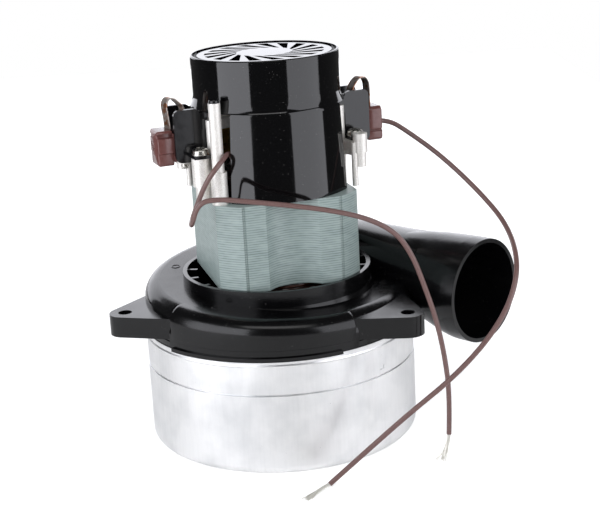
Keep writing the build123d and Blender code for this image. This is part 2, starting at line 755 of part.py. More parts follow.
# Field laminations: poles front and back, windows left and right for the coils
stack_top = STACK_Z + STACK_HEIGHT
pole_tip_gap = STACK_BORE * POLE_OPENING_SHARE
with BuildPart() as field_laminations:
    with BuildSketch(turned_plane(STACK_AZIMUTH, STACK_Z)):
        Rectangle(STACK_WIDTH, STACK_DEPTH)
        Circle(STACK_CORNER_RADIUS, mode=Mode.INTERSECT)
        with GridLocations(0, STACK_DEPTH + (STACK_GROOVE_RADIUS - STACK_GROOVE_DEPTH) * 2, 1, 2):
            Circle(STACK_GROOVE_RADIUS, mode=Mode.SUBTRACT)
        with GridLocations(STACK_RIDGE_PLACE * 2, STACK_DEPTH, 2, 2):
            Rectangle(STACK_RIDGE_WIDTH, STACK_RIDGE_DEPTH * 2, mode=Mode.SUBTRACT)
        with GridLocations(WINDOW_OUTER + WINDOW_INNER, 0, 2, 1):
            Rectangle(WINDOW_OUTER - WINDOW_INNER, WINDOW_LENGTH, mode=Mode.SUBTRACT)
        with BuildSketch(mode=Mode.PRIVATE) as pole_tips:
            Circle(STACK_BORE + POLE_TIP)
            Rectangle(STACK_WIDTH, pole_tip_gap, mode=Mode.SUBTRACT)
        add(pole_tips.sketch)
        Circle(STACK_BORE, mode=Mode.SUBTRACT)
    extrude(amount=STACK_HEIGHT)
    with BuildSketch(turned_plane(BOLT_AZIMUTH, STACK_Z)):
        with PolarLocations(POST_CIRCLE_RADIUS, 2):
            Circle(THROUGH_BOLT_RADIUS + SEAT_CLEARANCE)
    extrude(amount=STACK_HEIGHT, mode=Mode.SUBTRACT)
save(field_laminations, "field_laminations")

# Field coils: two legs down the windows and an end turn over each face of the stack
leg_place = WINDOW_OUTER - LINER_THICKNESS - SEAT_CLEARANCE - COIL_THICKNESS / 2
coil_bottom = STACK_Z - SEAT_CLEARANCE - COIL_END_HEIGHT
for name, turn in (("front", 180), ("back", 0)):
    azimuth = STACK_AZIMUTH + turn
    with BuildPart() as field_coil:
        for level in (coil_bottom, stack_top + SEAT_CLEARANCE):
            with BuildSketch(turned_plane(azimuth, level)):
                Circle(COIL_END_OUTER)
                Circle(COIL_END_INNER, mode=Mode.SUBTRACT)
                with Locations((0, COIL_START + COIL_END_OUTER / 2)):
                    Rectangle(COIL_END_OUTER * 2, COIL_END_OUTER, mode=Mode.INTERSECT)
            extrude(amount=COIL_END_HEIGHT)
        with BuildSketch(turned_plane(azimuth, STACK_Z - SEAT_CLEARANCE)):
            with Locations((0, COIL_START + COIL_LEG / 2)):
                with GridLocations(leg_place * 2, 0, 2, 1):
                    Rectangle(COIL_THICKNESS, COIL_LEG)
        extrude(amount=STACK_HEIGHT + SEAT_CLEARANCE * 2)
    save(field_coil, f"field_coil_{name}")

# Slot liners, a folded sheet in each window
liner_width = LINER_THICKNESS + SEAT_CLEARANCE + COIL_THICKNESS
with BuildPart() as slot_liners:
    with BuildSketch(turned_plane(STACK_AZIMUTH, STACK_Z)):
        with GridLocations(WINDOW_OUTER * 2 - liner_width, 0, 2, 1):
            Rectangle(liner_width, WINDOW_LENGTH)
        with GridLocations(WINDOW_OUTER * 2 - liner_width - LINER_THICKNESS * 2, 0, 2, 1):
            Rectangle(liner_width, WINDOW_LENGTH - LINER_THICKNESS * 2, mode=Mode.SUBTRACT)
    extrude(amount=STACK_HEIGHT)
save(slot_liners, "slot_liners")

# Armature core
with BuildPart() as armature_core:
    with BuildSketch(Plane.XY.offset(STACK_Z)):
        Circle(ARMATURE_RADIUS)
        with PolarLocations(ARMATURE_RADIUS - SLOT_DEPTH / 2, ARMATURE_SLOTS):
            Rectangle(SLOT_DEPTH + OVERRUN, SLOT_WIDTH, mode=Mode.SUBTRACT)
        Circle(shaft_fit, mode=Mode.SUBTRACT)
    extrude(amount=STACK_HEIGHT)
save(armature_core, "armature_core")

# Armature winding: bundles in the slots, joined over each end of the core
slot_bundle = SLOT_DEPTH - OVERRUN
with BuildPart() as armature_winding:
    with BuildSketch(Plane.XZ):
        with BuildLine():
            Polyline(
                (WINDING_END_INNER, stack_top),
                (WINDING_END_OUTER, stack_top),
                (WINDING_END_OUTER, stack_top + WINDING_END_HEIGHT),
                (COMMUTATOR_RISER, COMMUTATOR_Z),
                (WINDING_END_INNER, COMMUTATOR_Z),
                close=True,
            )
        make_face()
        with BuildLine():
            Polyline(
                (WINDING_END_INNER, STACK_Z - WINDING_END_HEIGHT),
                (WINDING_END_OUTER, STACK_Z - WINDING_END_HEIGHT),
                (WINDING_END_OUTER, STACK_Z),
                (WINDING_END_INNER, STACK_Z),
                close=True,
            )
        make_face()
    revolve(axis=Axis.Z)
    with BuildSketch(Plane.XY.offset(STACK_Z)):
        with PolarLocations(ARMATURE_RADIUS - SLOT_DEPTH / 2 - OVERRUN / 2, ARMATURE_SLOTS):
            Rectangle(slot_bundle, SLOT_WIDTH - SEAT_CLEARANCE * 2)
    extrude(amount=STACK_HEIGHT)
save(armature_winding, "armature_winding")

# Commutator: copper bars with risers, on an insulating bush
with BuildPart() as commutator:
    with BuildSketch(Plane.XY.offset(COMMUTATOR_Z)):
        Circle(COMMUTATOR_RADIUS)
        with PolarLocations(COMMUTATOR_RADIUS - BAR_GAP_DEPTH / 2, COMMUTATOR_BARS):
            Rectangle(BAR_GAP_DEPTH, BAR_GAP, mode=Mode.SUBTRACT)
        Circle(COMMUTATOR_BUSH + RUN_CLEARANCE, mode=Mode.SUBTRACT)
    extrude(amount=COMMUTATOR_HEIGHT)
    with BuildSketch(Plane.XY.offset(COMMUTATOR_Z)):
        Circle(COMMUTATOR_RISER)
        Circle(COMMUTATOR_BUSH + RUN_CLEARANCE, mode=Mode.SUBTRACT)
    extrude(amount=RISER_HEIGHT)
save(commutator, "commutator")

with BuildPart() as commutator_bush:
    with BuildSketch(Plane.XY.offset(COMMUTATOR_Z)):
        Circle(COMMUTATOR_BUSH)
        Circle(shaft_fit, mode=Mode.SUBTRACT)
    extrude(amount=COMMUTATOR_HEIGHT)
save(commutator_bush, "commutator_bush")

# Die cast bracket: bearing cup, four arms on legs, screw bosses, two tall posts and two stubs
arm_top = BRACKET_ARM_Z + BRACKET_ARM_HEIGHT
cup_radius = UPPER_BEARING_RADIUS + BRACKET_CUP_WALL
leg_angle = degrees(atan2(BOSS_T, BOSS_S))
leg_s, leg_t = polar(BRACKET_LEG_CIRCLE, leg_angle)
leg_places = [(s * leg_s, t * leg_t) for s in (-1, 1) for t in (-1, 1)]
boss_places = [(s * BOSS_S, t * BOSS_T) for s in (-1, 1) for t in (-1, 1)]
stub_places = [(STUB_S, -STUB_T), (-STUB_S, STUB_T)]
post_places = [polar(POST_CIRCLE_RADIUS, POST_ANGLE), polar(POST_CIRCLE_RADIUS, POST_ANGLE + 180)]
with BuildPart() as commutator_bracket:
    with BuildSketch(head_plane(BRACKET_ARM_Z)):
        Circle(cup_radius)
        for angle in (leg_angle, 180 - leg_angle, 180 + leg_angle, -leg_angle):
            with BuildSketch(mode=Mode.PRIVATE) as arm:
                with Locations((BRACKET_LEG_CIRCLE / 2, 0)):
                    Rectangle(BRACKET_LEG_CIRCLE, BRACKET_ARM_WIDTH)
                with Locations((BRACKET_LEG_CIRCLE, 0)):
                    Circle(BRACKET_LEG_RADIUS)
            add(arm.sketch.rotate(Axis.Z, angle))
    extrude(amount=BRACKET_ARM_HEIGHT)
    with BuildSketch(head_plane(BRACKET_ARM_Z)):
        Circle(cup_radius)
    extrude(amount=UPPER_BEARING_Z + UPPER_BEARING_HEIGHT - BRACKET_ARM_Z)
    with BuildSketch(head_plane(stack_top)):
        with Locations(*leg_places):
            Circle(BRACKET_LEG_RADIUS)
    extrude(amount=arm_top - stack_top)
    with BuildSketch(head_plane(BOSS_FOOT_Z)):
        with Locations(*boss_places):
            Circle(BOSS_RADIUS)
        for place, leg in zip(boss_places, leg_places):
            with BuildLine():
                Line(place, leg)
            trace(line_width=BOSS_WEB_WIDTH)
    extrude(amount=BOSS_TOP_Z - BOSS_FOOT_Z)
    with BuildSketch(head_plane(POST_BOSS_FOOT_Z)):
        with Locations(boss_places[0], boss_places[3]):
            Circle(BOSS_RADIUS)
    extrude(amount=BOSS_TOP_Z - POST_BOSS_FOOT_Z)
    with BuildSketch(head_plane(stack_top)):
        with Locations(boss_places[0], boss_places[3]):
            Circle(POST_BOSS_RADIUS)
    extrude(amount=BOSS_TOP_Z - stack_top)
    with BuildSketch(head_plane(stack_top)):
        with Locations(*post_places):
            Circle(POST_BASE_RADIUS)
        for place, leg in ((post_places[0], leg_places[0]), (post_places[1], leg_places[3])):
            with BuildLine():
                Line(place, leg)
            trace(line_width=POST_RADIUS)
    extrude(amount=POST_BASE_TOP_Z - stack_top)
    with BuildSketch(head_plane(stack_top)):
        with Locations(*post_places):
            Circle(POST_RADIUS)
    extrude(amount=POST_TOP_Z - stack_top)
    with BuildSketch(head_plane(STUB_STEP_Z)):
        with Locations(*stub_places):
            Circle(STUB_RADIUS)
    extrude(amount=STUB_TOP_Z - STUB_STEP_Z)
    with BuildSketch(head_plane(STUB_BOTTOM_Z)):
        with Locations(*stub_places):
            Circle(STUB_LOWER_RADIUS)
    extrude(amount=STUB_TOP_Z - STUB_BOTTOM_Z)
    with BuildSketch(head_plane(STUB_STEP_Z)):
        for place, leg in ((stub_places[0], leg_places[2]), (stub_places[1], leg_places[1])):
            with BuildLine():
                Line(place, leg)
            trace(line_width=POST_RADIUS)
    extrude(amount=BOSS_TOP_Z - STUB_STEP_Z)
    with BuildSketch(head_plane(stack_top)):
        with Locations((STUB_LEG_S, -STUB_T), (-STUB_LEG_S, STUB_T)):
            Circle(STUB_LEG_RADIUS)
    extrude(amount=BOSS_TOP_Z - stack_top)
    # Bores: bearing pocket, shaft hole, long bolts, screws and stubs
    with BuildSketch(head_plane(UPPER_BEARING_Z)):
        Circle(UPPER_BEARING_RADIUS + RUN_CLEARANCE)
    extrude(amount=UPPER_BEARING_HEIGHT + OVERRUN, mode=Mode.SUBTRACT)
    with BuildSketch(head_plane(BRACKET_ARM_Z)):
        Circle(SHAFT_RADIUS + OVERRUN)
    extrude(amount=UPPER_BEARING_Z - BRACKET_ARM_Z, mode=Mode.SUBTRACT)
    with BuildSketch(head_plane(stack_top)):
        with Locations(*post_places):
            Circle(THROUGH_BOLT_RADIUS + SEAT_CLEARANCE)
    extrude(amount=POST_TOP_Z - stack_top, mode=Mode.SUBTRACT)
    with BuildSketch(head_plane(BOSS_TOP_Z - BOSS_SCREW_LENGTH)):
        with Locations(*boss_places):
            Circle(BOSS_SCREW_RADIUS + SEAT_CLEARANCE)
    extrude(amount=BOSS_SCREW_LENGTH + OVERRUN, mode=Mode.SUBTRACT)
    with BuildSketch(head_plane(STUB_STEP_Z)):
        with Locations(*stub_places):
            Circle(STUB_BORE)
    extrude(amount=STUB_TOP_Z - STUB_STEP_Z, mode=Mode.SUBTRACT)
save(commutator_bracket, "commutator_bracket")

# Long bolts from the posts through the stack into the housing
with BuildPart() as through_bolts:
    with BuildSketch(head_plane(STACK_Z - THROUGH_BOLT_DEPTH)):
        with Locations(*post_places):
            Circle(THROUGH_BOLT_RADIUS)
    extrude(amount=POST_TOP_Z - THROUGH_BOLT_INSET - STACK_Z + THROUGH_BOLT_DEPTH)
save(through_bolts, "through_bolts")

# Brush holders, tubes, blocks, straps and brushes
lug_top = BOSS_TOP_Z + CLAMP_LUG_THICKNESS
clamp_length = CLAMP_END - CLAMP_START
web_top = CLAMP_WEB_Z + CLAMP_WALL
tab_length = CLAMP_START + CLAMP_CORNER - CLAMP_TAB_START
tube_width = BRUSH_WIDTH + BRUSH_TUBE_WALL * 2
tube_height = BRUSH_HEIGHT + BRUSH_TUBE_WALL * 2
brush_start = COMMUTATOR_RADIUS + BODY_CLEARANCE
brush_end = brush_start + BRUSH_LENGTH
for name, side in (("left", -1), ("right", 1)):
    azimuth = BRUSH_AZIMUTH if side > 0 else BRUSH_AZIMUTH + 180
    with BuildPart() as brush_holder:
        with BuildSketch(radial_plane(azimuth)):
            with Locations(((CLAMP_START + CLAMP_END) / 2, (CLAMP_TOP_Z + CLAMP_BOTTOM_Z) / 2)):
                RectangleRounded(clamp_length, CLAMP_TOP_Z - CLAMP_BOTTOM_Z, CLAMP_CORNER)
        extrude(amount=CLAMP_WIDTH / 2, both=True)
        with BuildSketch(turned_plane(azimuth, CLAMP_BOTTOM_Z)):
            with Locations(((CLAMP_START + CLAMP_END) / 2, 0)):
                Rectangle(clamp_length + OVERRUN, CLAMP_WIDTH - CLAMP_WALL * 2)
        extrude(amount=CLAMP_WEB_Z - CLAMP_BOTTOM_Z, mode=Mode.SUBTRACT)
        with BuildSketch(turned_plane(azimuth, web_top)):
            with Locations(((CLAMP_START + CLAMP_END) / 2, 0)):
                Rectangle(clamp_length + OVERRUN, CLAMP_WIDTH - CLAMP_WALL * 2)
        extrude(amount=CLAMP_TOP_Z - web_top, mode=Mode.SUBTRACT)
        with BuildSketch(turned_plane(azimuth, CLAMP_TAB_Z)):
            with Locations((CLAMP_TAB_START + tab_length / 2, 0)):
                with GridLocations(0, CLAMP_WIDTH - CLAMP_WALL, 1, 2):
                    Rectangle(tab_length, CLAMP_WALL)
        extrude(amount=CLAMP_TAB_HEIGHT)
        with BuildSketch(turned_plane(azimuth, BOSS_TOP_Z)):
            for place in (-1, 1):
                lug_reach = BOSS_T + CLAMP_LUG_REACH / 2 - CLAMP_WIDTH / 2 + CLAMP_WALL / 2
                lug_middle = CLAMP_WIDTH / 2 - CLAMP_WALL / 2 + lug_reach / 2
                with Locations((BOSS_S, place * lug_middle)):
                    Rectangle(CLAMP_LUG_REACH, lug_reach)
                with Locations((BOSS_S, place * BOSS_T)):
                    Circle(BOSS_SCREW_RADIUS + SEAT_CLEARANCE, mode=Mode.SUBTRACT)
        extrude(amount=CLAMP_LUG_THICKNESS)
    save(brush_holder, f"brush_holder_{name}")

    with BuildPart() as brush_block:
        with BuildSketch(along_brush(side, BLOCK_START)):
            Rectangle(BLOCK_NECK_WIDTH, BLOCK_NECK_HEIGHT)
        extrude(amount=BLOCK_END - BLOCK_START - OVERRUN)
        with BuildSketch(along_brush(side, BLOCK_HEAD_START)):
            Rectangle(BLOCK_WIDTH, BLOCK_HEIGHT)
            for level, tall in BLOCK_GROOVES:
                with Locations((BLOCK_WIDTH / 2, level), (-BLOCK_WIDTH / 2, level)):
                    Rectangle(BLOCK_GROOVE_DEPTH * 2, tall, mode=Mode.SUBTRACT)
        extrude(amount=BLOCK_END - BLOCK_HEAD_START)
        with BuildSketch(along_brush(side, BLOCK_START)):
            Rectangle(tube_width + SEAT_CLEARANCE, tube_height + SEAT_CLEARANCE)
        extrude(amount=BRUSH_TUBE_END - BLOCK_START + SEAT_CLEARANCE, mode=Mode.SUBTRACT)
        if side > 0:
            with BuildSketch(along_brush(side, BLOCK_END - LEAD_SOCKET_DEPTH)):
                Circle(LEAD_RADIUS + SEAT_CLEARANCE * 2)
            extrude(amount=LEAD_SOCKET_DEPTH, mode=Mode.SUBTRACT)
    save(brush_block, f"brush_block_{name}")

    with BuildPart() as brush_tube:
        with BuildSketch(along_brush(side, BRUSH_TUBE_START)):
            Rectangle(tube_width, tube_height)
        extrude(amount=BRUSH_TUBE_END - BRUSH_TUBE_START)
        with BuildSketch(along_brush(side, BRUSH_TUBE_START)):
            Rectangle(BRUSH_WIDTH, BRUSH_HEIGHT)
        extrude(amount=BRUSH_TUBE_END - BRUSH_CAP - BRUSH_TUBE_START, mode=Mode.SUBTRACT)
    save(brush_tube, f"brush_tube_{name}")

    with BuildPart() as carbon_brush:
        with BuildSketch(along_brush(side, brush_start)):
            Rectangle(BRUSH_WIDTH - SEAT_CLEARANCE * 2, BRUSH_HEIGHT - SEAT_CLEARANCE * 2)
        extrude(amount=BRUSH_LENGTH)
    save(carbon_brush, f"carbon_brush_{name}")

    with BuildPart() as brush_strap:
        with BuildSketch(radial_plane(azimuth)):
            with BuildLine():
                FilletPolyline(
                    (STRAP_INNER_S, web_top),
                    (STRAP_INNER_S, STRAP_PEAK_Z),
                    (STRAP_OUTER_S, STRAP_PEAK_Z),
                    (STRAP_OUTER_S, BRUSH_Z + BLOCK_HEIGHT / 2),
                    radius=STRAP_LOOP_RADIUS,
                )
                offset(amount=STRAP_THICKNESS, side=Side.RIGHT)
            make_face()
        extrude(amount=STRAP_WIDTH / 2, both=True)
    save(brush_strap, f"brush_strap_{name}")

# Screws and washers that hold the brush holders down
with BuildPart() as holder_washers:
    with BuildSketch(head_plane(lug_top)):
        with Locations(*boss_places):
            Circle(BOSS_WASHER_RADIUS)
            Circle(BOSS_SCREW_RADIUS + SEAT_CLEARANCE, mode=Mode.SUBTRACT)
    extrude(amount=BOSS_WASHER_HEIGHT)
save(holder_washers, "holder_washers")

head_z = lug_top + BOSS_WASHER_HEIGHT
with BuildPart() as holder_screws:
    with BuildSketch(head_plane(BOSS_TOP_Z - BOSS_SCREW_LENGTH + OVERRUN)):
        with Locations(*boss_places):
            Circle(BOSS_SCREW_RADIUS)
    extrude(amount=head_z - BOSS_TOP_Z + BOSS_SCREW_LENGTH - OVERRUN)
    with BuildSketch(head_plane(head_z)):
        with Locations(*boss_places):
            Circle(BOSS_SCREW_HEAD_RADIUS)
    extrude(amount=BOSS_SCREW_HEAD_HEIGHT, taper=SCREW_HEAD_TAPER)
save(holder_screws, "holder_screws")

# Fan cover: round top with a slotted grille, skirts in front and behind
skirt_bottom = stack_top + SEAT_CLEARANCE
step_foot = COVER_STEP_Z - COVER_STEP_HEIGHT
grille_top = GRILLE_Z + GRILLE_THICKNESS
slot_half = SLOT_SHARE * 180 / SLOT_COUNT
with BuildSketch() as slot_sketch:
    with BuildLine():
        Polyline(
            polar(SLOT_INNER_RADIUS, -slot_half),
            polar(SLOT_OUTER_RADIUS, SLOT_TURN - slot_half),
            polar(SLOT_OUTER_RADIUS, SLOT_TURN + slot_half),
            polar(SLOT_INNER_RADIUS, slot_half),
            close=True,
        )
    make_face()
grille_slot = slot_sketch.sketch
cover_inner = COVER_RADIUS - COVER_WALL
flare_inner = COVER_FLARE_RADIUS - COVER_WALL
gutter_outer = COVER_RADIUS - COVER_RIM_WALL
gutter_z = grille_top - GUTTER_DEPTH
with BuildPart() as fan_cover:
    with BuildSketch(Plane.XZ):
        with BuildLine():
            Polyline(
                (0, GRILLE_Z),
                (0, grille_top),
                (GRILLE_RADIUS, grille_top),
                (GRILLE_RADIUS, gutter_z),
                (gutter_outer, gutter_z),
                (gutter_outer, COVER_TOP_Z),
                (COVER_RADIUS - COVER_RIM, COVER_TOP_Z),
            )
            RadiusArc(
                (COVER_RADIUS - COVER_RIM, COVER_TOP_Z),
                (COVER_RADIUS, COVER_TOP_Z - COVER_RIM),
                COVER_RIM,
            )
            Line((COVER_RADIUS, COVER_TOP_Z - COVER_RIM), (COVER_RADIUS, COVER_STEP_Z))
            TangentArc((COVER_RADIUS, COVER_STEP_Z), (COVER_FLARE_RADIUS, COVER_FLARE_Z), tangent=(0, -1))
            TangentArc((SKIRT_TOP_RADIUS, step_foot), (COVER_FLARE_RADIUS, COVER_FLARE_Z), tangent=(0, 1))
            Polyline(
                (SKIRT_TOP_RADIUS, step_foot),
                (SKIRT_RADIUS, skirt_bottom),
                (SKIRT_RADIUS - COVER_WALL, skirt_bottom),
                (SKIRT_TOP_RADIUS - COVER_WALL, step_foot),
            )
            TangentArc((SKIRT_TOP_RADIUS - COVER_WALL, step_foot), (flare_inner, COVER_FLARE_Z), tangent=(0, 1))
            TangentArc((cover_inner, COVER_STEP_Z), (flare_inner, COVER_FLARE_Z), tangent=(0, -1))
            Polyline(
                (cover_inner, COVER_STEP_Z),
                (cover_inner, GUTTER_FLOOR_Z),
                (GRILLE_RADIUS - COVER_WALL, GUTTER_FLOOR_Z),
                (GRILLE_RADIUS - COVER_WALL, GRILLE_Z),
                (0, GRILLE_Z),
            )
        make_face()
    revolve(axis=Axis.Z)
    with BuildSketch(head_plane(skirt_bottom)):
        Rectangle((SKIRT_RADIUS + OVERRUN) * 2, SKIRT_HALF_OPENING * 2)
    extrude(amount=SIDE_OPENING_TOP_Z - skirt_bottom, mode=Mode.SUBTRACT)
    with BuildSketch(head_plane(GRILLE_Z)):
        with PolarLocations(0, SLOT_COUNT):
            add(grille_slot)
    extrude(amount=GRILLE_THICKNESS, mode=Mode.SUBTRACT)
save(fan_cover, "fan_cover")

# Cooling fan on the top end of the shaft
cooler_fit = SHAFT_TOP_RADIUS + RUN_CLEARANCE
with BuildPart() as cooling_fan:
    with BuildSketch(Plane.XY.offset(COOLER_Z)):
        Circle(COOLER_RADIUS)
    extrude(amount=COOLER_DISC)
    with BuildSketch(Plane.XY.offset(COOLER_Z)):
        Circle(COOLER_HUB_RADIUS)
    extrude(amount=COOLER_HEIGHT)
    with BuildSketch(Plane.XY.offset(COOLER_Z)):
        with PolarLocations((COOLER_HUB_RADIUS + COOLER_RADIUS) / 2 - COOLER_BLADE, COOLER_BLADES):
            Rectangle(COOLER_RADIUS - COOLER_HUB_RADIUS, COOLER_BLADE)
    extrude(amount=COOLER_HEIGHT)
    with BuildSketch(Plane.XY.offset(COOLER_Z)):
        Circle(cooler_fit)
    extrude(amount=COOLER_HEIGHT, mode=Mode.SUBTRACT)
save(cooling_fan, "cooling_fan")

# Brush springs, coiled behind the brushes inside their tubes
spring_pitch = (BRUSH_TUBE_END - BRUSH_CAP - BRUSH_TRAVEL - brush_end) / (SPRING_TURNS + 1)
for name, side in (("left", -1), ("right", 1)):
    azimuth = BRUSH_AZIMUTH if side > 0 else BRUSH_AZIMUTH + 180
    seat = along_brush(side, brush_end + SPRING_WIRE)
    with BuildPart() as brush_spring:
        with BuildLine():
            coil = Helix(
                spring_pitch,
                spring_pitch * SPRING_TURNS,
                SPRING_RADIUS,
                center=seat.origin,
                direction=seat.z_dir,
            )
        with BuildSketch(Plane(coil @ 0, z_dir=coil % 0)):
            RegularPolygon(SPRING_WIRE, SPRING_WIRE_SIDES)
        sweep()
    save(brush_spring, f"brush_spring_{name}")


# Supply leads
def bend_radii(route):
    """Radii of the arcs between straight runs, as wide as the shorter run beside each allows."""
    corners = [Vector(*point) for point in route]
    runs = [after - before for before, after in zip(corners, corners[1:])]
    radii = []
    for before, after in zip(runs, runs[1:]):
        half_turn = radians(before.get_angle(after)) / 2
        radii.append(BEND_SHARE * min(before.length, after.length) / tan(half_turn))
    return tuple(radii)


for name, route, tip in (
    ("right", LEAD_RIGHT_ROUTE, LEAD_RIGHT_TIP),
    ("left", LEAD_LEFT_ROUTE, LEAD_LEFT_TIP),
):
    bends = bend_radii(route)
    with BuildPart() as lead:
        with BuildLine() as lead_line:
            FilletPolyline(*route, radius=bends)
        start_plane = Plane(route[0], z_dir=Vector(*route[1]) - Vector(*route[0]))
        with BuildSketch(start_plane):
            Circle(LEAD_RADIUS)
        sweep()
    length = lead_line.wire().length
    print("lead", name, "length", round(length, 1), "bends", [round(bend, 1) for bend in bends])
    print("volume", round(lead.part.volume, 1), "expected", round(pi * LEAD_RADIUS**2 * length, 1))
    save(lead, f"lead_{name}")
    run_out = Vector(*tip) - Vector(*route[-1])
    with BuildPart() as strands:
        with BuildSketch(Plane(Vector(*route[-1]) + run_out.normalized() * STRANDS_INSET, z_dir=run_out)):
            Circle(STRANDS_RADIUS)
        extrude(amount=run_out.length - STRANDS_INSET * 2)
    save(strands, f"lead_{name}_strands")
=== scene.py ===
# %% [markdown]
# # Vacuum motor unit
#
# A three stage vacuum motor: a galvanised shell that holds three fans, a black
# housing that turns their air into a side horn, a lamination stack with its
# coils, and a brush motor under a black cover. The frame of solids is loaded
# first, and every piece below sits on it. The scene, its camera and the leads
# are in metres. The other pieces are worked out in millimetres, as a maker
# would measure them, and divided by a thousand at the end.

# %% Load the frame
import json
import math

import bmesh
import bpy
import numpy as np
from mathutils import Matrix, Vector


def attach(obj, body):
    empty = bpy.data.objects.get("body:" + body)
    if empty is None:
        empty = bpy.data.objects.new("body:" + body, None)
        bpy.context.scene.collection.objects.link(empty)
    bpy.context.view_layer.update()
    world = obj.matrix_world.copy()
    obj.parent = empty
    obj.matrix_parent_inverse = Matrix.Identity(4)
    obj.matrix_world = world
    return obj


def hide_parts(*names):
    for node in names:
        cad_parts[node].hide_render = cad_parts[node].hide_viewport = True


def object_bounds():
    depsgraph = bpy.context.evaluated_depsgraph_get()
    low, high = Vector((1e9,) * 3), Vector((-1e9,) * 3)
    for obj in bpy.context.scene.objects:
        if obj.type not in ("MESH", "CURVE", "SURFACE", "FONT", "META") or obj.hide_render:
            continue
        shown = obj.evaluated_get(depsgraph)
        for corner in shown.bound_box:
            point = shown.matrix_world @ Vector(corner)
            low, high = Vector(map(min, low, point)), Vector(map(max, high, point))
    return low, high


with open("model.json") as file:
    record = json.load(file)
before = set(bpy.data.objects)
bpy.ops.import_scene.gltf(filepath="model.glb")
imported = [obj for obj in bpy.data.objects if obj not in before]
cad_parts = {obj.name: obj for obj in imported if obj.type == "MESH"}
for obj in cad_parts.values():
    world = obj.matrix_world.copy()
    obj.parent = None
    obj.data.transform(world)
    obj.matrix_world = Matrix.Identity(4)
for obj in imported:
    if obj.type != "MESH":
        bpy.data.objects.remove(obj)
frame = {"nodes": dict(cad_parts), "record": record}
nodes = frame["nodes"]
cad_low, cad_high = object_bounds()
print("solids", len(nodes), "from", tuple(cad_low), "to", tuple(cad_high))

# %% [markdown]
# ## Camera
#
# The motor was photographed from a little above, about 0.78 m away, with a
# camera that leaned by three degrees. The camera could be aimed by eye, but
# it is placed here from the circles that the shell, the stack and the cover
# draw in the photograph, so that a point of a solid lands where it is seen.

# %% Camera
CAMERA_PLACE = (0.5173, -0.5048, 0.3031)
CAMERA_PITCH = math.radians(16.112)
CAMERA_HEADING = math.radians(134.68)
CAMERA_LEAN = -0.0536
LENS_MM = 84.0
SENSOR_WIDTH_MM = 36.0

look = Vector((math.cos(CAMERA_PITCH) * math.cos(CAMERA_HEADING),
               math.cos(CAMERA_PITCH) * math.sin(CAMERA_HEADING), -math.sin(CAMERA_PITCH)))
level_right = look.cross(Vector((0, 0, 1))).normalized()
level_up = level_right.cross(look)
camera_right = math.cos(CAMERA_LEAN) * level_right + math.sin(CAMERA_LEAN) * level_up
camera_up = -math.sin(CAMERA_LEAN) * level_right + math.cos(CAMERA_LEAN) * level_up

camera_data = bpy.data.cameras.new("studio_camera")
camera_data.lens = LENS_MM
camera_data.sensor_width = SENSOR_WIDTH_MM
camera = bpy.data.objects.new("studio_camera", camera_data)
bpy.context.scene.collection.objects.link(camera)
turned = Matrix((camera_right, camera_up, -look)).transposed().to_4x4()
camera.matrix_world = Matrix.Translation(CAMERA_PLACE) @ turned
bpy.context.scene.camera = camera
print("camera", round(Vector(CAMERA_PLACE).length, 3), "m from the inlet, lens", LENS_MM, "mm")

# %% [markdown]
# ## Colours and nodes
#
# A colour is written as its sRGB hex value, the way a colour picker shows it,
# but a shader reckons with light, so the value is made linear first. A node
# could be added in a line for each setting and link. Here one call adds it
# with all of them, so a material reads as a short list.

# %% Colour and node helpers
def linear(code):
    """An sRGB hex colour as linear RGBA.

    Each channel c becomes c/12.92 up to 0.04045, and ((c+0.055)/1.055)^2.4 above it.
    """
    channels = np.array([int(code[i:i + 2], 16) for i in (1, 3, 5)]) / 255
    straight = np.where(channels <= 0.04045, channels / 12.92, ((channels + 0.055) / 1.055) ** 2.4)
    return (*straight.tolist(), 1.0)


def add(tree, kind, settings=None, **links):
    """Adds one shader node with its settings, and joins its inputs to sockets of other nodes.

    A link named n6 goes to input number 6, any other to the input of that name.
    """
    node = tree.nodes.new(kind)
    for key, value in (settings or {}).items():
        if isinstance(key, int) or key in node.inputs:
            node.inputs[key].default_value = value
        else:
            setattr(node, key, value)
    for key, source in links.items():
        target = int(key[1:]) if key[0] == "n" and key[1:].isdigit() else key.replace("_", " ")
        tree.links.new(source, node.inputs[target])
    return node


def new_material(name, colour, roughness, metallic=0.0):
    """A material with one Principled shader and the three values that every finish has."""
    material = bpy.data.materials.new(name)
    material.use_nodes = True
    shader = material.node_tree.nodes["Principled BSDF"]
    shader.inputs["Base Color"].default_value = linear(colour)
    shader.inputs["Roughness"].default_value = roughness
    shader.inputs["Metallic"].default_value = metallic
    return material, material.node_tree, shader


print("middle grey #808080 is", round(linear("#808080")[0], 3), "linear")

# %% [markdown]
# ## Patterns
#
# A real surface is never one flat value. A picture could be laid over it, but
# noise on the object's own coordinates needs no seams and can be made at a
# real size. Noise scale counts cells in a metre, so a grain of 1 mm is 1000.
# A Mapping node with one small factor stretches the grain into streaks along
# that axis, as drawing, turning or brushing leaves them.

# %% Patterns that several finishes share
# Millimetres in a metre, and so the noise scale of a grain of 1 mm.
PER_MM = 1000.0


def grain(tree, size_mm, stretch=(1.0, 1.0, 1.0), detail=3.0):
    """Noise with cells of a given size, longer along an axis with a factor under 1 and shorter over 1."""
    place = add(tree, "ShaderNodeTexCoord")
    mapped = add(tree, "ShaderNodeMapping", {"Scale": stretch}, Vector=place.outputs["Object"])
    return add(tree, "ShaderNodeTexNoise", {"Scale": PER_MM / size_mm, "Detail": detail},
               Vector=mapped.outputs["Vector"]).outputs["Fac"]


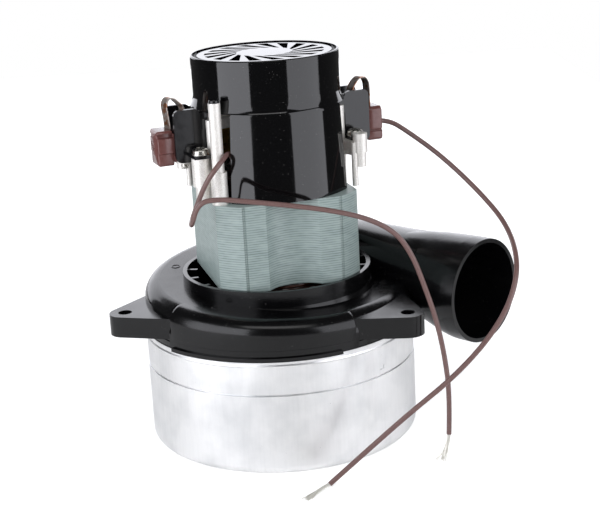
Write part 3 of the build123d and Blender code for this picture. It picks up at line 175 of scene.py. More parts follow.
def two_tones(tree, factor, dark, light, low=0.35, high=0.65):
    """A ramp from one colour to another as a pattern goes from low to high."""
    ramp = add(tree, "ShaderNodeValToRGB", None, Fac=factor)
    for stop, place, colour in zip(ramp.color_ramp.elements, (low, high), (dark, light)):
        stop.position = place
        stop.color = linear(colour)
    return ramp.outputs["Color"]


def spread(tree, factor, low, high):
    """A pattern's 0.3 to 0.7 range carried to a low and a high value."""
    return add(tree, "ShaderNodeMapRange", {"From Min": 0.3, "From Max": 0.7, "To Min": low, "To Max": high},
               Value=factor).outputs["Result"]


def relief(tree, shader, height, depth_mm, strength=1.0):
    """A bump of a given depth in millimetres from a pattern, joined to the shader's normal."""
    bump = add(tree, "ShaderNodeBump", {"Distance": depth_mm / PER_MM, "Strength": strength}, Height=height)
    tree.links.new(bump.outputs["Normal"], shader.inputs["Normal"])


def finish_of(name, dark, light, rough_low, rough_high, metallic=0.0, size_mm=2.0, stretch=(1.0, 1.0, 1.0),
              bump_mm=0.01, tone_low=0.35, tone_high=0.65):
    """The plain recipe: one grain that shifts the colour, the roughness and the surface a little."""
    material, tree, shader = new_material(name, light, rough_high, metallic)
    pattern = grain(tree, size_mm, stretch)
    tree.links.new(two_tones(tree, pattern, dark, light, tone_low, tone_high), shader.inputs["Base Color"])
    tree.links.new(spread(tree, pattern, rough_low, rough_high), shader.inputs["Roughness"])
    relief(tree, shader, pattern, bump_mm)
    return material


print("a grain of 2 mm is noise of scale", PER_MM / 2.0)

# %% [markdown]
# ## Leads
#
# The two supply leads are 18 gauge stranded copper in a brown insulation,
# 2.6 mm across. They leave the brush gear, hang in loose curves past the
# horn and rest their bare ends on the table. Straight runs with rounded
# corners would look like bent rod, while a smooth spline of order 3 over a
# few given points bends as a lead does. The soft PVC has a low sheen
# and a faint mottle, and the tinned wire is a dull silver with brighter spots.

# %% Lead finish
MOTTLE_MM = 10 / 9
TIN_SPOT_MM = 2 / 3

lead_brown, tree, shader = new_material("pvc_insulation_brown", "#6a514d", 0.3)
mottle = grain(tree, MOTTLE_MM)
tree.links.new(two_tones(tree, mottle, "#5f4643", "#755b57", 0.0, 1.0), shader.inputs["Base Color"])

tinned_wire, tree, shader = new_material("tinned_copper_strands", "#dddcd5", 0.38, 0.5)
spots = grain(tree, TIN_SPOT_MM, detail=2.0)
tree.links.new(two_tones(tree, spots, "#cfccc0", "#f4f3ee", 0.0, 1.0), shader.inputs["Base Color"])
print("lead finishes", lead_brown.name, tinned_wire.name)

# %% Lead routes
LEAD_DIAMETER = 0.0026
BEVEL_STEPS, CURVE_STEPS = 6, 10
LEAD_RIGHT = (
    (0.0257, 0.0544, 0.1614), (0.0293, 0.0619, 0.1610), (0.0387, 0.0669, 0.1544),
    (0.0595, 0.0696, 0.1427), (0.0848, 0.0687, 0.1266), (0.1067, 0.0629, 0.1131),
    (0.1280, 0.0423, 0.1020), (0.1319, 0.0307, 0.0861), (0.1275, 0.0182, 0.0691),
    (0.1171, 0.0026, 0.0511), (0.1023, -0.0148, 0.0339), (0.0886, -0.0309, 0.0165),
    (0.0780, -0.0482, 0.0015),
)
LEAD_LEFT = (
    (0.0063, -0.0303, 0.1439), (0.0068, -0.0329, 0.1610), (0.0140, -0.0493, 0.1560),
    (0.0083, -0.0545, 0.1465), (-0.0021, -0.0558, 0.1268), (0.0134, -0.0700, 0.1282),
    (0.0182, -0.0687, 0.1411), (0.0247, -0.0613, 0.1424), (0.0351, -0.0485, 0.1396),
    (0.0489, -0.0329, 0.1361), (0.0612, -0.0175, 0.1319), (0.0717, -0.0038, 0.1263),
    (0.0803, 0.0064, 0.1180), (0.0862, 0.0110, 0.1059), (0.0914, 0.0127, 0.0917),
    (0.0975, 0.0140, 0.0747), (0.1022, 0.0145, 0.0553), (0.1049, 0.0144, 0.0343),
    (0.1052, 0.0126, 0.0143),
)


def lead_spline(name, points, radius):
    """A round cord: a NURBS spline of order 3 with the route as its control points, and a round bevel."""
    curve = bpy.data.curves.new(name, "CURVE")
    curve.dimensions = "3D"
    curve.bevel_depth = radius
    curve.bevel_resolution = BEVEL_STEPS
    curve.resolution_u = CURVE_STEPS
    curve.use_fill_caps = True
    spline = curve.splines.new("NURBS")
    spline.points.add(len(points) - 1)
    spline.points.foreach_set("co", [c for p in points for c in (*p, 1.0)])
    spline.order_u = 3
    spline.use_endpoint_u = True
    piece = bpy.data.objects.new(name, curve)
    bpy.context.scene.collection.objects.link(piece)
    return piece


cord_right = lead_spline("cord_right", LEAD_RIGHT, LEAD_DIAMETER / 2)
cord_left = lead_spline("cord_left", LEAD_LEFT, LEAD_DIAMETER / 2)
for piece, node in ((cord_right, "lead_right"), (cord_left, "lead_left")):
    piece.data.materials.append(lead_brown)
    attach(piece, "stator")
    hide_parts(node)
print("leads", len(LEAD_RIGHT), len(LEAD_LEFT), "points")

# %% [markdown]
# ## Finishes
#
# Each finish starts from what the real part is made of, and its colours are
# those of the material in plain white light. One shared recipe serves the
# quiet parts, and the shell, the mouldings, the stack and the coils have
# their own, because these are what the eye rests on.
#
# ### Galvanised steel of the fan shell
#
# The shell is drawn from zinc coated sheet. Drawing leaves faint upright
# streaks in the zinc, storage leaves cloudy patches and a few dark specks.
# The clouds also move the gloss and the surface a little, so that the metal
# mirrors the room softly and unevenly.

# %% Galvanised steel
CLOUD_MM, STREAK_MM, SPECK_MM = 22.0, 1.6, 1.1
UPRIGHT = (1.0, 1.0, 0.1)

galvanised, tree, shader = new_material("galvanised_steel", "#f2f3f3", 0.3, 0.95)
clouds = grain(tree, CLOUD_MM, detail=5.0)
streaks = grain(tree, STREAK_MM, UPRIGHT)
specks = grain(tree, SPECK_MM, detail=1.0)
colour = two_tones(tree, clouds, "#e6e7e8", "#fafafa", 0.3, 0.6)
for share, layer in ((0.8, two_tones(tree, streaks, "#fafafa", "#ffffff", 0.3, 0.6)),
                     (0.7, two_tones(tree, specks, "#8a8a88", "#ffffff", 0.16, 0.2))):
    colour = add(tree, "ShaderNodeMix", {"data_type": "RGBA", "blend_type": "MULTIPLY", 0: share},
                 n6=colour, n7=layer).outputs[2]
tree.links.new(colour, shader.inputs["Base Color"])
tree.links.new(spread(tree, clouds, 0.28, 0.4), shader.inputs["Roughness"])
relief(tree, shader, clouds, 0.02, 0.4)
print(galvanised.name, len(tree.nodes), "nodes")

# %% [markdown]
# ### Moulded plastics
#
# The housing is a black polyester moulding with a satin gloss and the cover a
# shinier one, like a black thermoset from a polished mould. The brush blocks
# are brown phenolic. On plastic the colour hardly changes: it is the gloss and
# a very shallow waviness that tell a moulding from paint, with a little dust.

# %% Black mouldings
WAVE_DEPTH_MM = 0.12
DUST_FULL = 0.8


def moulded(name, black, dust, gloss, wave_mm, dust_mm, dust_from, strength):
    """Broad waves move the gloss and the surface, and the rare peaks of a fine grain show as dust."""
    material, tree, shader = new_material(name, black, gloss[0])
    waves = grain(tree, wave_mm)
    peaks = grain(tree, dust_mm, detail=1.0)
    tree.links.new(two_tones(tree, peaks, black, dust, dust_from, DUST_FULL), shader.inputs["Base Color"])
    tree.links.new(spread(tree, waves, *gloss), shader.inputs["Roughness"])
    relief(tree, shader, waves, WAVE_DEPTH_MM, strength)
    return material, shader


# A satin moulding, whose mirror of the lamps is held back a little.
housing_black, shader = moulded("polyester_moulding_black", "#070708", "#4c4b4a", gloss=(0.15, 0.25),
                                wave_mm=14.0, dust_mm=0.7, dust_from=0.74, strength=0.5)
shader.inputs["Specular IOR Level"].default_value = 0.38
# A polished moulding, with sharp reflections that bend over its waves.
cover_black, shader = moulded("thermoset_cover_black", "#060607", "#6a6866", gloss=(0.05, 0.09),
                              wave_mm=24.0, dust_mm=0.6, dust_from=0.75, strength=0.4)
print("mouldings", housing_black.name, cover_black.name)

# %% Smaller mouldings, foam and paper
# Filled nylon is a slightly soft black.
holder_black = finish_of("glass_nylon_black", "#0b0b0d", "#121214", 0.12, 0.2, size_mm=3.0)
# Phenolic is hard and glossy, and its brown hardly varies.
block_brown = finish_of("phenolic_brown", "#613c38", "#6b4643", 0.16, 0.24, size_mm=2.5, bump_mm=0.004)
# Foam rubber is matt, with open pores of half a millimetre.
gasket_foam = finish_of("foam_rubber_black", "#101010", "#1d1d1c", 0.8, 0.95, size_mm=0.5, bump_mm=0.15)
# Paper soaked in resin is a dull straw colour.
resin_paper = finish_of("resin_paper", "#a89a70", "#c6ba94", 0.55, 0.75, size_mm=1.5)
print("smaller finishes", holder_black.name, block_brown.name, gasket_foam.name, resin_paper.name)

# %% [markdown]
# ### Metals
#
# The fans and guide plates are pressed aluminium sheet, the bracket is a
# zinc die casting with a fine grained skin, the shaft and screws are plated
# steel, and the commutator is turned copper. The brushes are pressed carbon
# in brass tubes, and their straps are tinned copper, with the red showing.
# The plain recipe is enough for all of them, because little of each is seen.

# %% Metals
# Pressed sheet keeps a soft sheen.
fan_sheet = finish_of("pressed_aluminium", "#b8babc", "#d4d5d6", 0.28, 0.42, 1.0, 3.0, bump_mm=0.02)
# Plating is smooth and a little warm.
plated_steel = finish_of("plated_steel", "#a9a79f", "#cfcdc6", 0.2, 0.34, 1.0, 1.0)
# A casting's skin is pale and half matt, so it is only partly metallic.
cast_zinc = finish_of("die_cast_zinc", "#d6d2cb", "#f4f2ee", 0.4, 0.55, 0.45, 0.45, bump_mm=0.03)
# The bars show as upright streaks.
commutator_bars = finish_of("turned_copper", "#8a4a2c", "#c47c50", 0.2, 0.35, 1.0, 0.6, UPRIGHT)
# Brass is a dull yellow in the shade of the clamps.
tube_sheet = finish_of("sheet_brass", "#9d8040", "#c6a75c", 0.28, 0.4, 1.0, 1.5)
# Pressed powder is nearly matt.
pressed_carbon = finish_of("pressed_carbon", "#151516", "#242426", 0.45, 0.65, size_mm=0.4)
# Thin tin over copper: patches of silver between patches of red brown.
tinned_strip = finish_of("tinned_copper_strip", "#96684f", "#b5aca4", 0.3, 0.45, 0.9, 3.0,
                         tone_low=0.4, tone_high=0.5)
print("metals", fan_sheet.name, plated_steel.name, cast_zinc.name, commutator_bars.name, tube_sheet.name)

# %% [markdown]
# ### Painted lamination stack
#
# The stack is about ninety thin steel sheets, dipped in grey green paint that
# doesn't fill the gaps between their edges. A wave along Z draws one line for
# two or three sheets, 1.25 mm apart, because single ones are too fine for the
# render, and noise fades the lines where paint bridges them. A wave texture
# repeats each 2 pi / 20 metres at a scale of 1.

# %% Stack paint
WAVE_SCALE_OF_MM = 2 * math.pi / 20.0 * PER_MM
LINE_PITCH_MM = 1.25
BRIDGE_MM = 7.0
FLATTENED = (1.0, 1.0, 3.0)

stack_paint, tree, shader = new_material("dip_paint_on_laminations", "#8d9c9a", 0.42)
place = add(tree, "ShaderNodeTexCoord")
bridged = grain(tree, BRIDGE_MM, FLATTENED, 4.0)
lines = add(tree, "ShaderNodeTexWave", {"wave_type": "BANDS", "bands_direction": "Z",
                                        "Scale": WAVE_SCALE_OF_MM / LINE_PITCH_MM,
                                        "Distortion": 0.12, "Detail": 1.0, "Detail Scale": 0.3},
            Vector=place.outputs["Object"])
gap = add(tree, "ShaderNodeMapRange", {"From Min": 0.0, "From Max": 0.35, "To Min": 0.0, "To Max": 1.0},
          Value=lines.outputs["Fac"]).outputs["Result"]
paint_tone = two_tones(tree, bridged, "#8a9996", "#97a5a2", 0.3, 0.7)
line_tone = two_tones(tree, gap, "#a3afae", "#ffffff", 0.0, 1.0)
mixed = add(tree, "ShaderNodeMix", {"data_type": "RGBA", "blend_type": "MULTIPLY"},
            n0=spread(tree, bridged, 0.95, 0.35), n6=paint_tone, n7=line_tone)
tree.links.new(mixed.outputs[2], shader.inputs["Base Color"])
relief(tree, shader, gap, 0.03, 0.4)
print(stack_paint.name, "one line each", LINE_PITCH_MM, "mm")

# %% [markdown]
# ### Enamelled copper coils
#
# Each coil is wound from 0.8 mm wire. Level bands that wander a little show as
# its rows. They are drawn two wires wide, 1.65 mm, because single wires are
# too fine for the render. A clear varnish lies over them as a coat.

# %% Coil varnish
ROW_PITCH_MM = 1.65347

coil_wire, tree, shader = new_material("varnished_copper_wire", "#2c140b", 0.3, 0.4)
place = add(tree, "ShaderNodeTexCoord")
rows = add(tree, "ShaderNodeTexWave", {"wave_type": "BANDS", "bands_direction": "Z",
                                       "Scale": WAVE_SCALE_OF_MM / ROW_PITCH_MM,
                                       "Distortion": 2.0, "Detail": 1.0},
           Vector=place.outputs["Object"]).outputs["Fac"]
tree.links.new(two_tones(tree, rows, "#1a0c07", "#38190d", 0.1, 0.7), shader.inputs["Base Color"])
relief(tree, shader, rows, 0.1, 0.5)
shader.inputs["Coat Weight"].default_value = 0.4
print(coil_wire.name, "one row each", ROW_PITCH_MM, "mm")

# %% [markdown]
# ### Finishes on the solids
#
# Each solid could be given its finish by name. But the record names a material
# slot for each, so one table from slot to finish dresses them all, and the
# pieces below take theirs from it too.

# %% Finishes by slot
FINISHES = {
    "shell_steel": galvanised, "housing_plastic": housing_black, "cover_plastic": cover_black,
    "gasket_rubber": gasket_foam, "fan_aluminium": fan_sheet, "bright_steel": plated_steel,
    "stack_paint": stack_paint, "coil_copper": coil_wire, "commutator_copper": commutator_bars,
    "insulation": resin_paper, "cast_bracket": cast_zinc, "holder_plastic": holder_black,
    "block_brown": block_brown, "tube_brass": tube_sheet, "carbon": pressed_carbon,
    "strap_copper": tinned_strip, "lead_brown": lead_brown, "tinned_wire": tinned_wire,
}
for entry in frame["record"]["subparts"]:
    materials = nodes[entry["node"]].data.materials
    materials.clear()
    materials.append(FINISHES[entry["material_slot"]])
print("finishes", len(FINISHES))

# %% [markdown]
# ## Surfaces
#
# A wound coil, a frayed wire end or a screw with a cross recess isn't a shape
# that a solid draws well. They could be modelled by hand in edit mode, but
# a formula can be read and changed, so each one is a grid of points from two
# parameters: along the rows and around the columns.

# %% Grids to pieces
WELD_DISTANCE = 1e-7
SHARP_ANGLE = math.radians(38)


def grid_faces(rows, columns):
    """Quads of a grid that closes around its columns, where point (i, j) has number i*columns + j."""
    row, column = np.meshgrid(np.arange(rows - 1), np.arange(columns), indexing="ij")
    here, after = row * columns + column, row * columns + (column + 1) % columns
    return np.stack([here, after, after + columns, here + columns], axis=-1).reshape(-1, 4)


def grid_piece(name, grids, slot, node=None, body="stator", looped=False):
    """One mesh from grids of points in millimetres.

    A looped grid joins its last row to its first, and any other has its first and last row capped.
    """
    faces, start = [], 0
    grids = [np.concatenate([grid, grid[:1]]) if looped else grid for grid in grids]
    for grid in grids:
        rows, columns = grid.shape[:2]
        faces += (grid_faces(rows, columns) + start).tolist()
        if not looped:
            rim = start + np.arange(columns)
            faces += [rim.tolist(), (rim + (rows - 1) * columns).tolist()]
        start += rows * columns
    mesh = bpy.data.meshes.new(name)
    points = np.concatenate([grid.reshape(-1, 3) for grid in grids]) / PER_MM
    mesh.from_pydata(points.tolist(), [], faces)
    edit = bmesh.new()
    edit.from_mesh(mesh)
    bmesh.ops.remove_doubles(edit, verts=edit.verts, dist=WELD_DISTANCE)
    bmesh.ops.recalc_face_normals(edit, faces=edit.faces)
    edit.to_mesh(mesh)
    edit.free()
    mesh.shade_smooth()
    mesh.set_sharp_from_angle(angle=SHARP_ANGLE)
    piece = bpy.data.objects.new(name, mesh)
    bpy.context.scene.collection.objects.link(piece)
    piece.data.materials.append(FINISHES[slot])
    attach(piece, body)
    if node:
        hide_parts(node)
    print(name, len(mesh.polygons), "faces")
    return piece


print("a grid of 3 rows and 4 columns has", len(grid_faces(3, 4)), "quads")

# %% [markdown]
# ### Paths, profiles and turned shapes
#
# Most pieces below are a profile carried along a path, or a profile turned
# about Z. A path is given by a few corners, spaced evenly and then softened
# by a moving mean, as a strap or a wire takes a bend in a soft curve.

# %% Curves and outlines
def turns(count):
    """Angles of a full circle in even steps, without the last one."""
    return np.linspace(0, 2 * math.pi, count, endpoint=False)


def spun(x, y, angle):
    """x and y turned about Z: (x cos a - y sin a, x sin a + y cos a)."""
    return x * math.cos(angle) - y * math.sin(angle), x * math.sin(angle) + y * math.cos(angle)


def evenly(corners, count, closed=False):
    """Points at even distances along a line through the corners."""
    corners = np.array(corners, dtype=float)
    if closed:
        corners = np.concatenate([corners, corners[:1]])
    reach = np.concatenate([[0], np.cumsum(np.linalg.norm(np.diff(corners, axis=0), axis=1))])
    at = np.linspace(0, reach[-1], count, endpoint=not closed)
    return np.stack([np.interp(at, reach, column) for column in corners.T], axis=1)


def rounded(corners, count, window):
    """A path with soft corners: even points along the corners, each then the mean of a window of them.

    The path is carried on past each end by its own half turn about that end, so the ends stay in place.
    """
    path = evenly(corners, count)
    half = window // 2
    before, after = 2 * path[0] - path[half:0:-1], 2 * path[-1] - path[-2:-half - 2:-1]
    padded = np.concatenate([before, path, after])
    mean = np.ones(window) / window
    return np.stack([np.convolve(column, mean, "valid") for column in padded.T], axis=1)


def swept(path, across, up, side):
    """Path + across*A + up*B, where B is the unit of side x tangent and A the unit of tangent x B."""
    tangent = np.gradient(path, axis=0)
    rise = np.cross(side, tangent)
    rise /= np.linalg.norm(rise, axis=1, keepdims=True)
    flank = np.cross(tangent, rise)
    flank /= np.linalg.norm(flank, axis=1, keepdims=True)
    return path[:, None] + across[..., None] * flank[:, None] + up[..., None] * rise[:, None]


def lathed(radius, height, spokes):
    """A profile turned about Z: (r cos a, r sin a, z)."""
    angle = turns(spokes)
    return np.stack([np.outer(radius, np.cos(angle)), np.outer(radius, np.sin(angle)),
                     np.outer(height, np.ones(spokes))], axis=-1)


square = ((0, 0), (10, 0), (10, 10), (0, 10))
print("a square in 8 points:", evenly(square, 8, closed=True).tolist())

# %% [markdown]
# ## Brush gear
#
# The brush gear stands across the motor at its own angle. S runs along the
# brushes, T across them, so its pieces are written in s, t and z.

# %% Brush frame
BRUSH_TURN = math.radians(64.7)
S_AXIS = np.array([math.cos(BRUSH_TURN), math.sin(BRUSH_TURN), 0.0])
T_AXIS = np.array([-math.sin(BRUSH_TURN), math.cos(BRUSH_TURN), 0.0])
Z_AXIS = np.array([0.0, 0.0, 1.0])


def brush_point(s, t, z):
    """s*S + t*T + z*Z for arrays of the three."""
    s, t, z = np.broadcast_arrays(s, t, z)
    return s[..., None] * S_AXIS + t[..., None] * T_AXIS + z[..., None] * Z_AXIS


print("S points to", S_AXIS.round(3).tolist())

# %% [markdown]
# ### Screws
#
# Four pan head screws hold the clamps down. The cross in a head could be cut
# by a boolean, but sinking the points of the dome that lie inside the cross
# keeps one clean grid, with soft edges as a punch leaves them.

# %% Pan head screws
HEAD_RADIUS, HEAD_FOOT_Z = 4.1, 159.1
HEAD_EDGE, DOME_RISE = 0.7, 1.9
SHANK_RADIUS, SHANK_FOOT_Z = 1.9, 146.5
CROSS_HALF_WIDTH, CROSS_REACH, CROSS_DEPTH = 0.65, 2.3, 1.4
CROSS_FLANK, CROSS_END = 0.15, 0.3
SCREW_RINGS, SCREW_SPOKES = 42, 96
SCREW_PLACES = ((42.4, 15.4, 0.3), (42.4, -15.4, 1.1), (-42.4, 15.4, 0.7), (-42.4, -15.4, 0.2))

# The rings stand closer together towards the rim, where the dome is steep.
share = 1 - (1 - np.linspace(0, 1, SCREW_RINGS)) ** 1.7
dome_z = HEAD_FOOT_Z + HEAD_EDGE + DOME_RISE * np.sqrt(1 - share ** 4)
dome = lathed(HEAD_RADIUS * share, dome_z, SCREW_SPOKES)
under = lathed(np.array([HEAD_RADIUS, SHANK_RADIUS, SHANK_RADIUS]),
               np.array([HEAD_FOOT_Z, HEAD_FOOT_Z, SHANK_FOOT_Z]), SCREW_SPOKES)


def screw_grid(s, t, turn):
    """A pan head of height (1 - share^4)^0.5 over its foot, less a cross turned by an angle in radians.

    A point is in an arm where the smaller of |x| and |y| is under the arm's half width, and the
    larger under its reach.
    """
    x, y = spun(dome[..., 0], dome[..., 1], turn)
    arm, reach = np.minimum(abs(x), abs(y)), np.maximum(abs(x), abs(y))
    inside = np.clip((CROSS_HALF_WIDTH - arm) / CROSS_FLANK, 0, 1)
    cut = CROSS_DEPTH * inside * np.clip((CROSS_REACH - reach) / CROSS_END, 0, 1)
    head = dome - cut[..., None] * Z_AXIS
    return np.concatenate([head, under]) + s * S_AXIS + t * T_AXIS


grid_piece("pan_head_screws", [screw_grid(*place) for place in SCREW_PLACES], "bright_steel", "holder_screws")

# %% [markdown]
# ### Straps
#
# A thin tinned copper strap makes a loop from each clamp to its block. It is
# bent by hand, so it isn't quite square to the block: its width leans by 20
# degrees. A flat profile carried along a soft path bends as strip does.

# %% Straps
STRAP_LEFT = ((-46.4, 170.6), (-46.2, 176.0), (-46.0, 180.4), (-48.4, 183.2), (-50.8, 185.7), (-53.0, 186.2),
              (-54.8, 184.6), (-55.3, 181.6), (-54.6, 176.0), (-54.2, 170.2))
STRAP_RIGHT = ((46.6, 170.6), (46.4, 176.0), (47.0, 180.6), (49.4, 184.1), (52.2, 186.2), (54.8, 185.6),
               (56.2, 182.8), (56.5, 177.8), (56.2, 170.2))
STRAP_HALF_WIDTH, STRAP_HALF_THICKNESS = 2.5, 0.3
STRAP_STEPS, STRAP_WINDOW, RIBBON_POINTS = 90, 7, 44
SKEW = math.radians(20)

strap_side = math.cos(SKEW) * T_AXIS - math.sin(SKEW) * S_AXIS
ribbon = evenly(((-STRAP_HALF_WIDTH, -STRAP_HALF_THICKNESS), (STRAP_HALF_WIDTH, -STRAP_HALF_THICKNESS),
                 (STRAP_HALF_WIDTH, STRAP_HALF_THICKNESS), (-STRAP_HALF_WIDTH, STRAP_HALF_THICKNESS)),
                RIBBON_POINTS, closed=True)
across, up = (np.tile(column, (STRAP_STEPS, 1)) for column in ribbon.T)
for name, corners in (("left", STRAP_LEFT), ("right", STRAP_RIGHT)):
    line = rounded(corners, STRAP_STEPS, STRAP_WINDOW)
    grid = swept(brush_point(line[:, 0], 0.0, line[:, 1]), across, up, strap_side)
    grid_piece(f"strap_ribbon_{name}", [grid], "strap_copper", f"brush_strap_{name}")

# %% [markdown]
# ### Clamp plates and post cap
#
# The two side plates of each clamp end in thin inner edges, 1 mm thick. One
# post of the bracket ends in a small black cap. Both are plain shapes, so an
# outline given twice makes a plate, and a profile turned about Z the cap.

# %% Clamp wings
WING_OUTLINE = ((35.6, 179.0), (40.0, 179.4), (40.0, 156.0), (36.4, 156.0))
WING_FACES = ((-8.6, -7.6), (7.6, 8.6))
WING_POINTS = 60

wing = evenly(WING_OUTLINE, WING_POINTS, closed=True)
for name, way in (("left", -1), ("right", 1)):
    plates = [brush_point(way * wing[:, 0], np.array(faces)[:, None], wing[:, 1]) for faces in WING_FACES]
    grid_piece(f"clamp_wings_{name}", plates, "holder_plastic")

# %% Post cap
CAP_PROFILE = ((0.0, 186.6), (2.3, 186.6), (2.6, 186.2), (2.6, 182.6), (0.0, 182.6))
CAP_S, CAP_T = -36.1, -23.8
CAP_SPOKES = 40

cap = lathed(*np.array(CAP_PROFILE).T, CAP_SPOKES)
grid_piece("post_cap", [cap + CAP_S * S_AXIS + CAP_T * T_AXIS], "holder_plastic")

# %% [markdown]
# ### Brush blocks
#
# Each block is a moulding with a plain neck inside the clamp and a taller head
# outside it. The left head has a groove near its top and steps in lower down,
# and the right head has one shallow groove low on its sides. A block is a row
# of closed sections along S, and the head's end sections are smaller, so its
# rims look rounded.

# %% Brush blocks
BLOCK_MIDDLE_Z = 161.4
BLOCK_POINTS = 120
NECK_HALF = ((7.2, 168.7), (7.2, 154.1))
HEAD_HALVES = {
    "left": ((6.0, 170.4), (7.0, 169.4), (7.0, 169.0), (5.4, 168.8), (5.4, 166.9), (7.4, 166.6),
             (7.5, 159.0), (6.6, 158.5), (6.6, 153.2), (6.0, 152.4)),
    "right": ((5.6, 170.4), (7.0, 168.8), (7.1, 158.2), (6.2, 158.0), (6.2, 157.0), (7.1, 156.8),
              (7.0, 153.2), (6.2, 152.4)),
}
NECK_SECTIONS = ((34.0, 1.0), (53.7, 1.0))
HEAD_SECTIONS = ((53.8, 0.97), (54.2, 1.0), (61.3, 1.0), (61.8, 0.97), (62.0, 0.92))


def block_outline(half):
    """The closed outline of which the right half is given from top to bottom, in even points."""
    left = [(-t, z) for t, z in half]
    return evenly(left[:1] + list(half) + left[:0:-1], BLOCK_POINTS, closed=True)


def block_rows(outline, sections, way):
    """The outline at each section's distance along S, grown by its factor about the block's middle."""
    middle = np.array([0.0, BLOCK_MIDDLE_Z])
    rows = [(way * s, middle + (outline - middle) * factor) for s, factor in sections]
    return [brush_point(s, section[:, 0], section[:, 1]) for s, section in rows]


neck = block_outline(NECK_HALF)
for name, way in (("left", -1), ("right", 1)):
    head = block_outline(HEAD_HALVES[name])
    rows = block_rows(neck, NECK_SECTIONS, way) + block_rows(head, HEAD_SECTIONS, way)
    grid_piece(f"brush_block_moulding_{name}", [np.stack(rows)], "block_brown", f"brush_block_{name}")

# %% [markdown]
# ## Coils
#
# Each field coil is a bundle of enamelled wire: an end turn over each face of
# the stack and two legs down its windows. Single wires would take millions of
# faces, so the bundle's outline waves in and out once for each wire, and the
# flutes run along it. The outline is a rounded rectangle.

# %% Bundle of wires
FLUTE_DEPTH = 0.035


def bundle(width, height, count, wires):
    """A rounded rectangle |x/a|^4 + |y/b|^4 = 1 whose edge waves in and out once for each wire."""
    angle = turns(count)
    reach = (abs(np.cos(angle)) ** 4 + abs(np.sin(angle)) ** 4) ** -0.25
    reach *= 1 - FLUTE_DEPTH + FLUTE_DEPTH * np.cos(wires * angle)
    return width / 2 * reach * np.cos(angle), height / 2 * reach * np.sin(angle)


print("a bundle of 6.4 mm reaches", round(float(bundle(6.4, 9.8, 132, 30)[0].max()), 2), "mm each way")

# %% Field coils
STACK_TURN = 59.7
STACK_LOW, STACK_HIGH = 88.5, 133.5
BUNDLE_POINTS = 132
END_SIZE, END_WIRES, END_STEPS = (6.4, 9.8), 30, 110
END_RADIUS, END_OUT = 30.25, 5.1
END_ARC = (7, 173)
END_THINNING, RIPPLE, RIPPLES = 0.5, 0.03, 23
LEG_SIZE, LEG_WIRES, LEG_STEPS = (4.1, 16.8), 36, 6
LEG_ASIDE, LEG_FORWARD, LEG_INTO_END = 28.4, 11.5, 2.0


def coil_grids(azimuth):
    """Two end turns, each an arc from 7 to 173 degrees, and two upright legs, turned by the azimuth.

    An end turn's bundle is 1 - 0.5*u^12 thick, with u from -1 to 1 along it, plus a ripple of 3%.
    """
    across, up = bundle(*END_SIZE, BUNDLE_POINTS, END_WIRES)
    swing = np.radians(np.linspace(*END_ARC, END_STEPS))
    along = np.linspace(-1, 1, END_STEPS)
    swell = (1 - END_THINNING * abs(along) ** 12 + RIPPLE * np.sin(swing * RIPPLES))[:, None]
    grids = []
    for z in (STACK_LOW - END_OUT, STACK_HIGH + END_OUT):
        path = np.stack([END_RADIUS * np.cos(swing), END_RADIUS * np.sin(swing),
                         np.full(END_STEPS, z)], axis=1)
        grids.append(swept(path, swell * across, swell * up, np.cross(np.gradient(path, axis=0), Z_AXIS)))
    across, up = bundle(*LEG_SIZE, BUNDLE_POINTS, LEG_WIRES)
    z = np.linspace(STACK_LOW - LEG_INTO_END, STACK_HIGH + LEG_INTO_END, LEG_STEPS)[:, None]
    for aside in (-LEG_ASIDE, LEG_ASIDE):
        grids.append(np.stack(np.broadcast_arrays(aside + across, LEG_FORWARD + up, z), axis=-1))
    spin = math.radians(azimuth)
    turn = np.array([[math.cos(spin), math.sin(spin), 0], [-math.sin(spin), math.cos(spin), 0], [0, 0, 1]])
    return [grid @ turn for grid in grids]


for name, azimuth in (("front", STACK_TURN + 180), ("back", STACK_TURN)):
    grid_piece(f"wound_coil_{name}", coil_grids(azimuth), "coil_copper", f"field_coil_{name}")

# %% [markdown]
# ### Armature winding
#
# The armature's bundles lie in its twelve slots and cross over its ends in
# twelve soft lobes. An end is a profile turned about Z whose radius waves,
# 3.5% for the lobes and 0.8% for the wires. It turns with the rotor.

# %% Armature end turns
ARMATURE_SLOTS = 12
END_POINTS, END_SPOKES = 40, 240
WINDING_INSIDE = 11.0
LOWER_TURNS = ((10.2, 88.4), (10.2, 78.9), (12.0, 78.5), (18.6, 78.6), (20.2, 80.0), (20.3, 88.0))
UPPER_TURNS = ((10.2, 133.6), (10.2, 147.0), (15.6, 147.0), (18.8, 144.0), (20.2, 141.0), (20.3, 133.8))
LOBE_DEPTH, WIRE_DEPTH = 0.035, 0.008

angle = turns(END_SPOKES)
lobes = 1 + LOBE_DEPTH * np.cos(ARMATURE_SLOTS * angle) + WIRE_DEPTH * np.cos(10 * ARMATURE_SLOTS * angle)
ends = []
for corners in (LOWER_TURNS, UPPER_TURNS):
    profile = evenly(corners, END_POINTS, closed=True)
    radius, height = profile[:, :1], profile[:, 1:]
    waved = np.where(radius > WINDING_INSIDE, lobes[None], 1.0) * radius
    z = np.repeat(height, END_SPOKES, axis=1)
    ends.append(np.stack([waved * np.cos(angle), waved * np.sin(angle), z], axis=-1))
grid_piece("armature_end_turns", ends, "coil_copper", "armature_winding", "rotor", looped=True)

# %% Armature slot turns
SLOT_SIZE, SLOT_WIRES, SLOT_POINTS = (7.3, 3.9), 24, 96
SLOT_RADIUS, SLOT_OUT = 18.45, 1.0

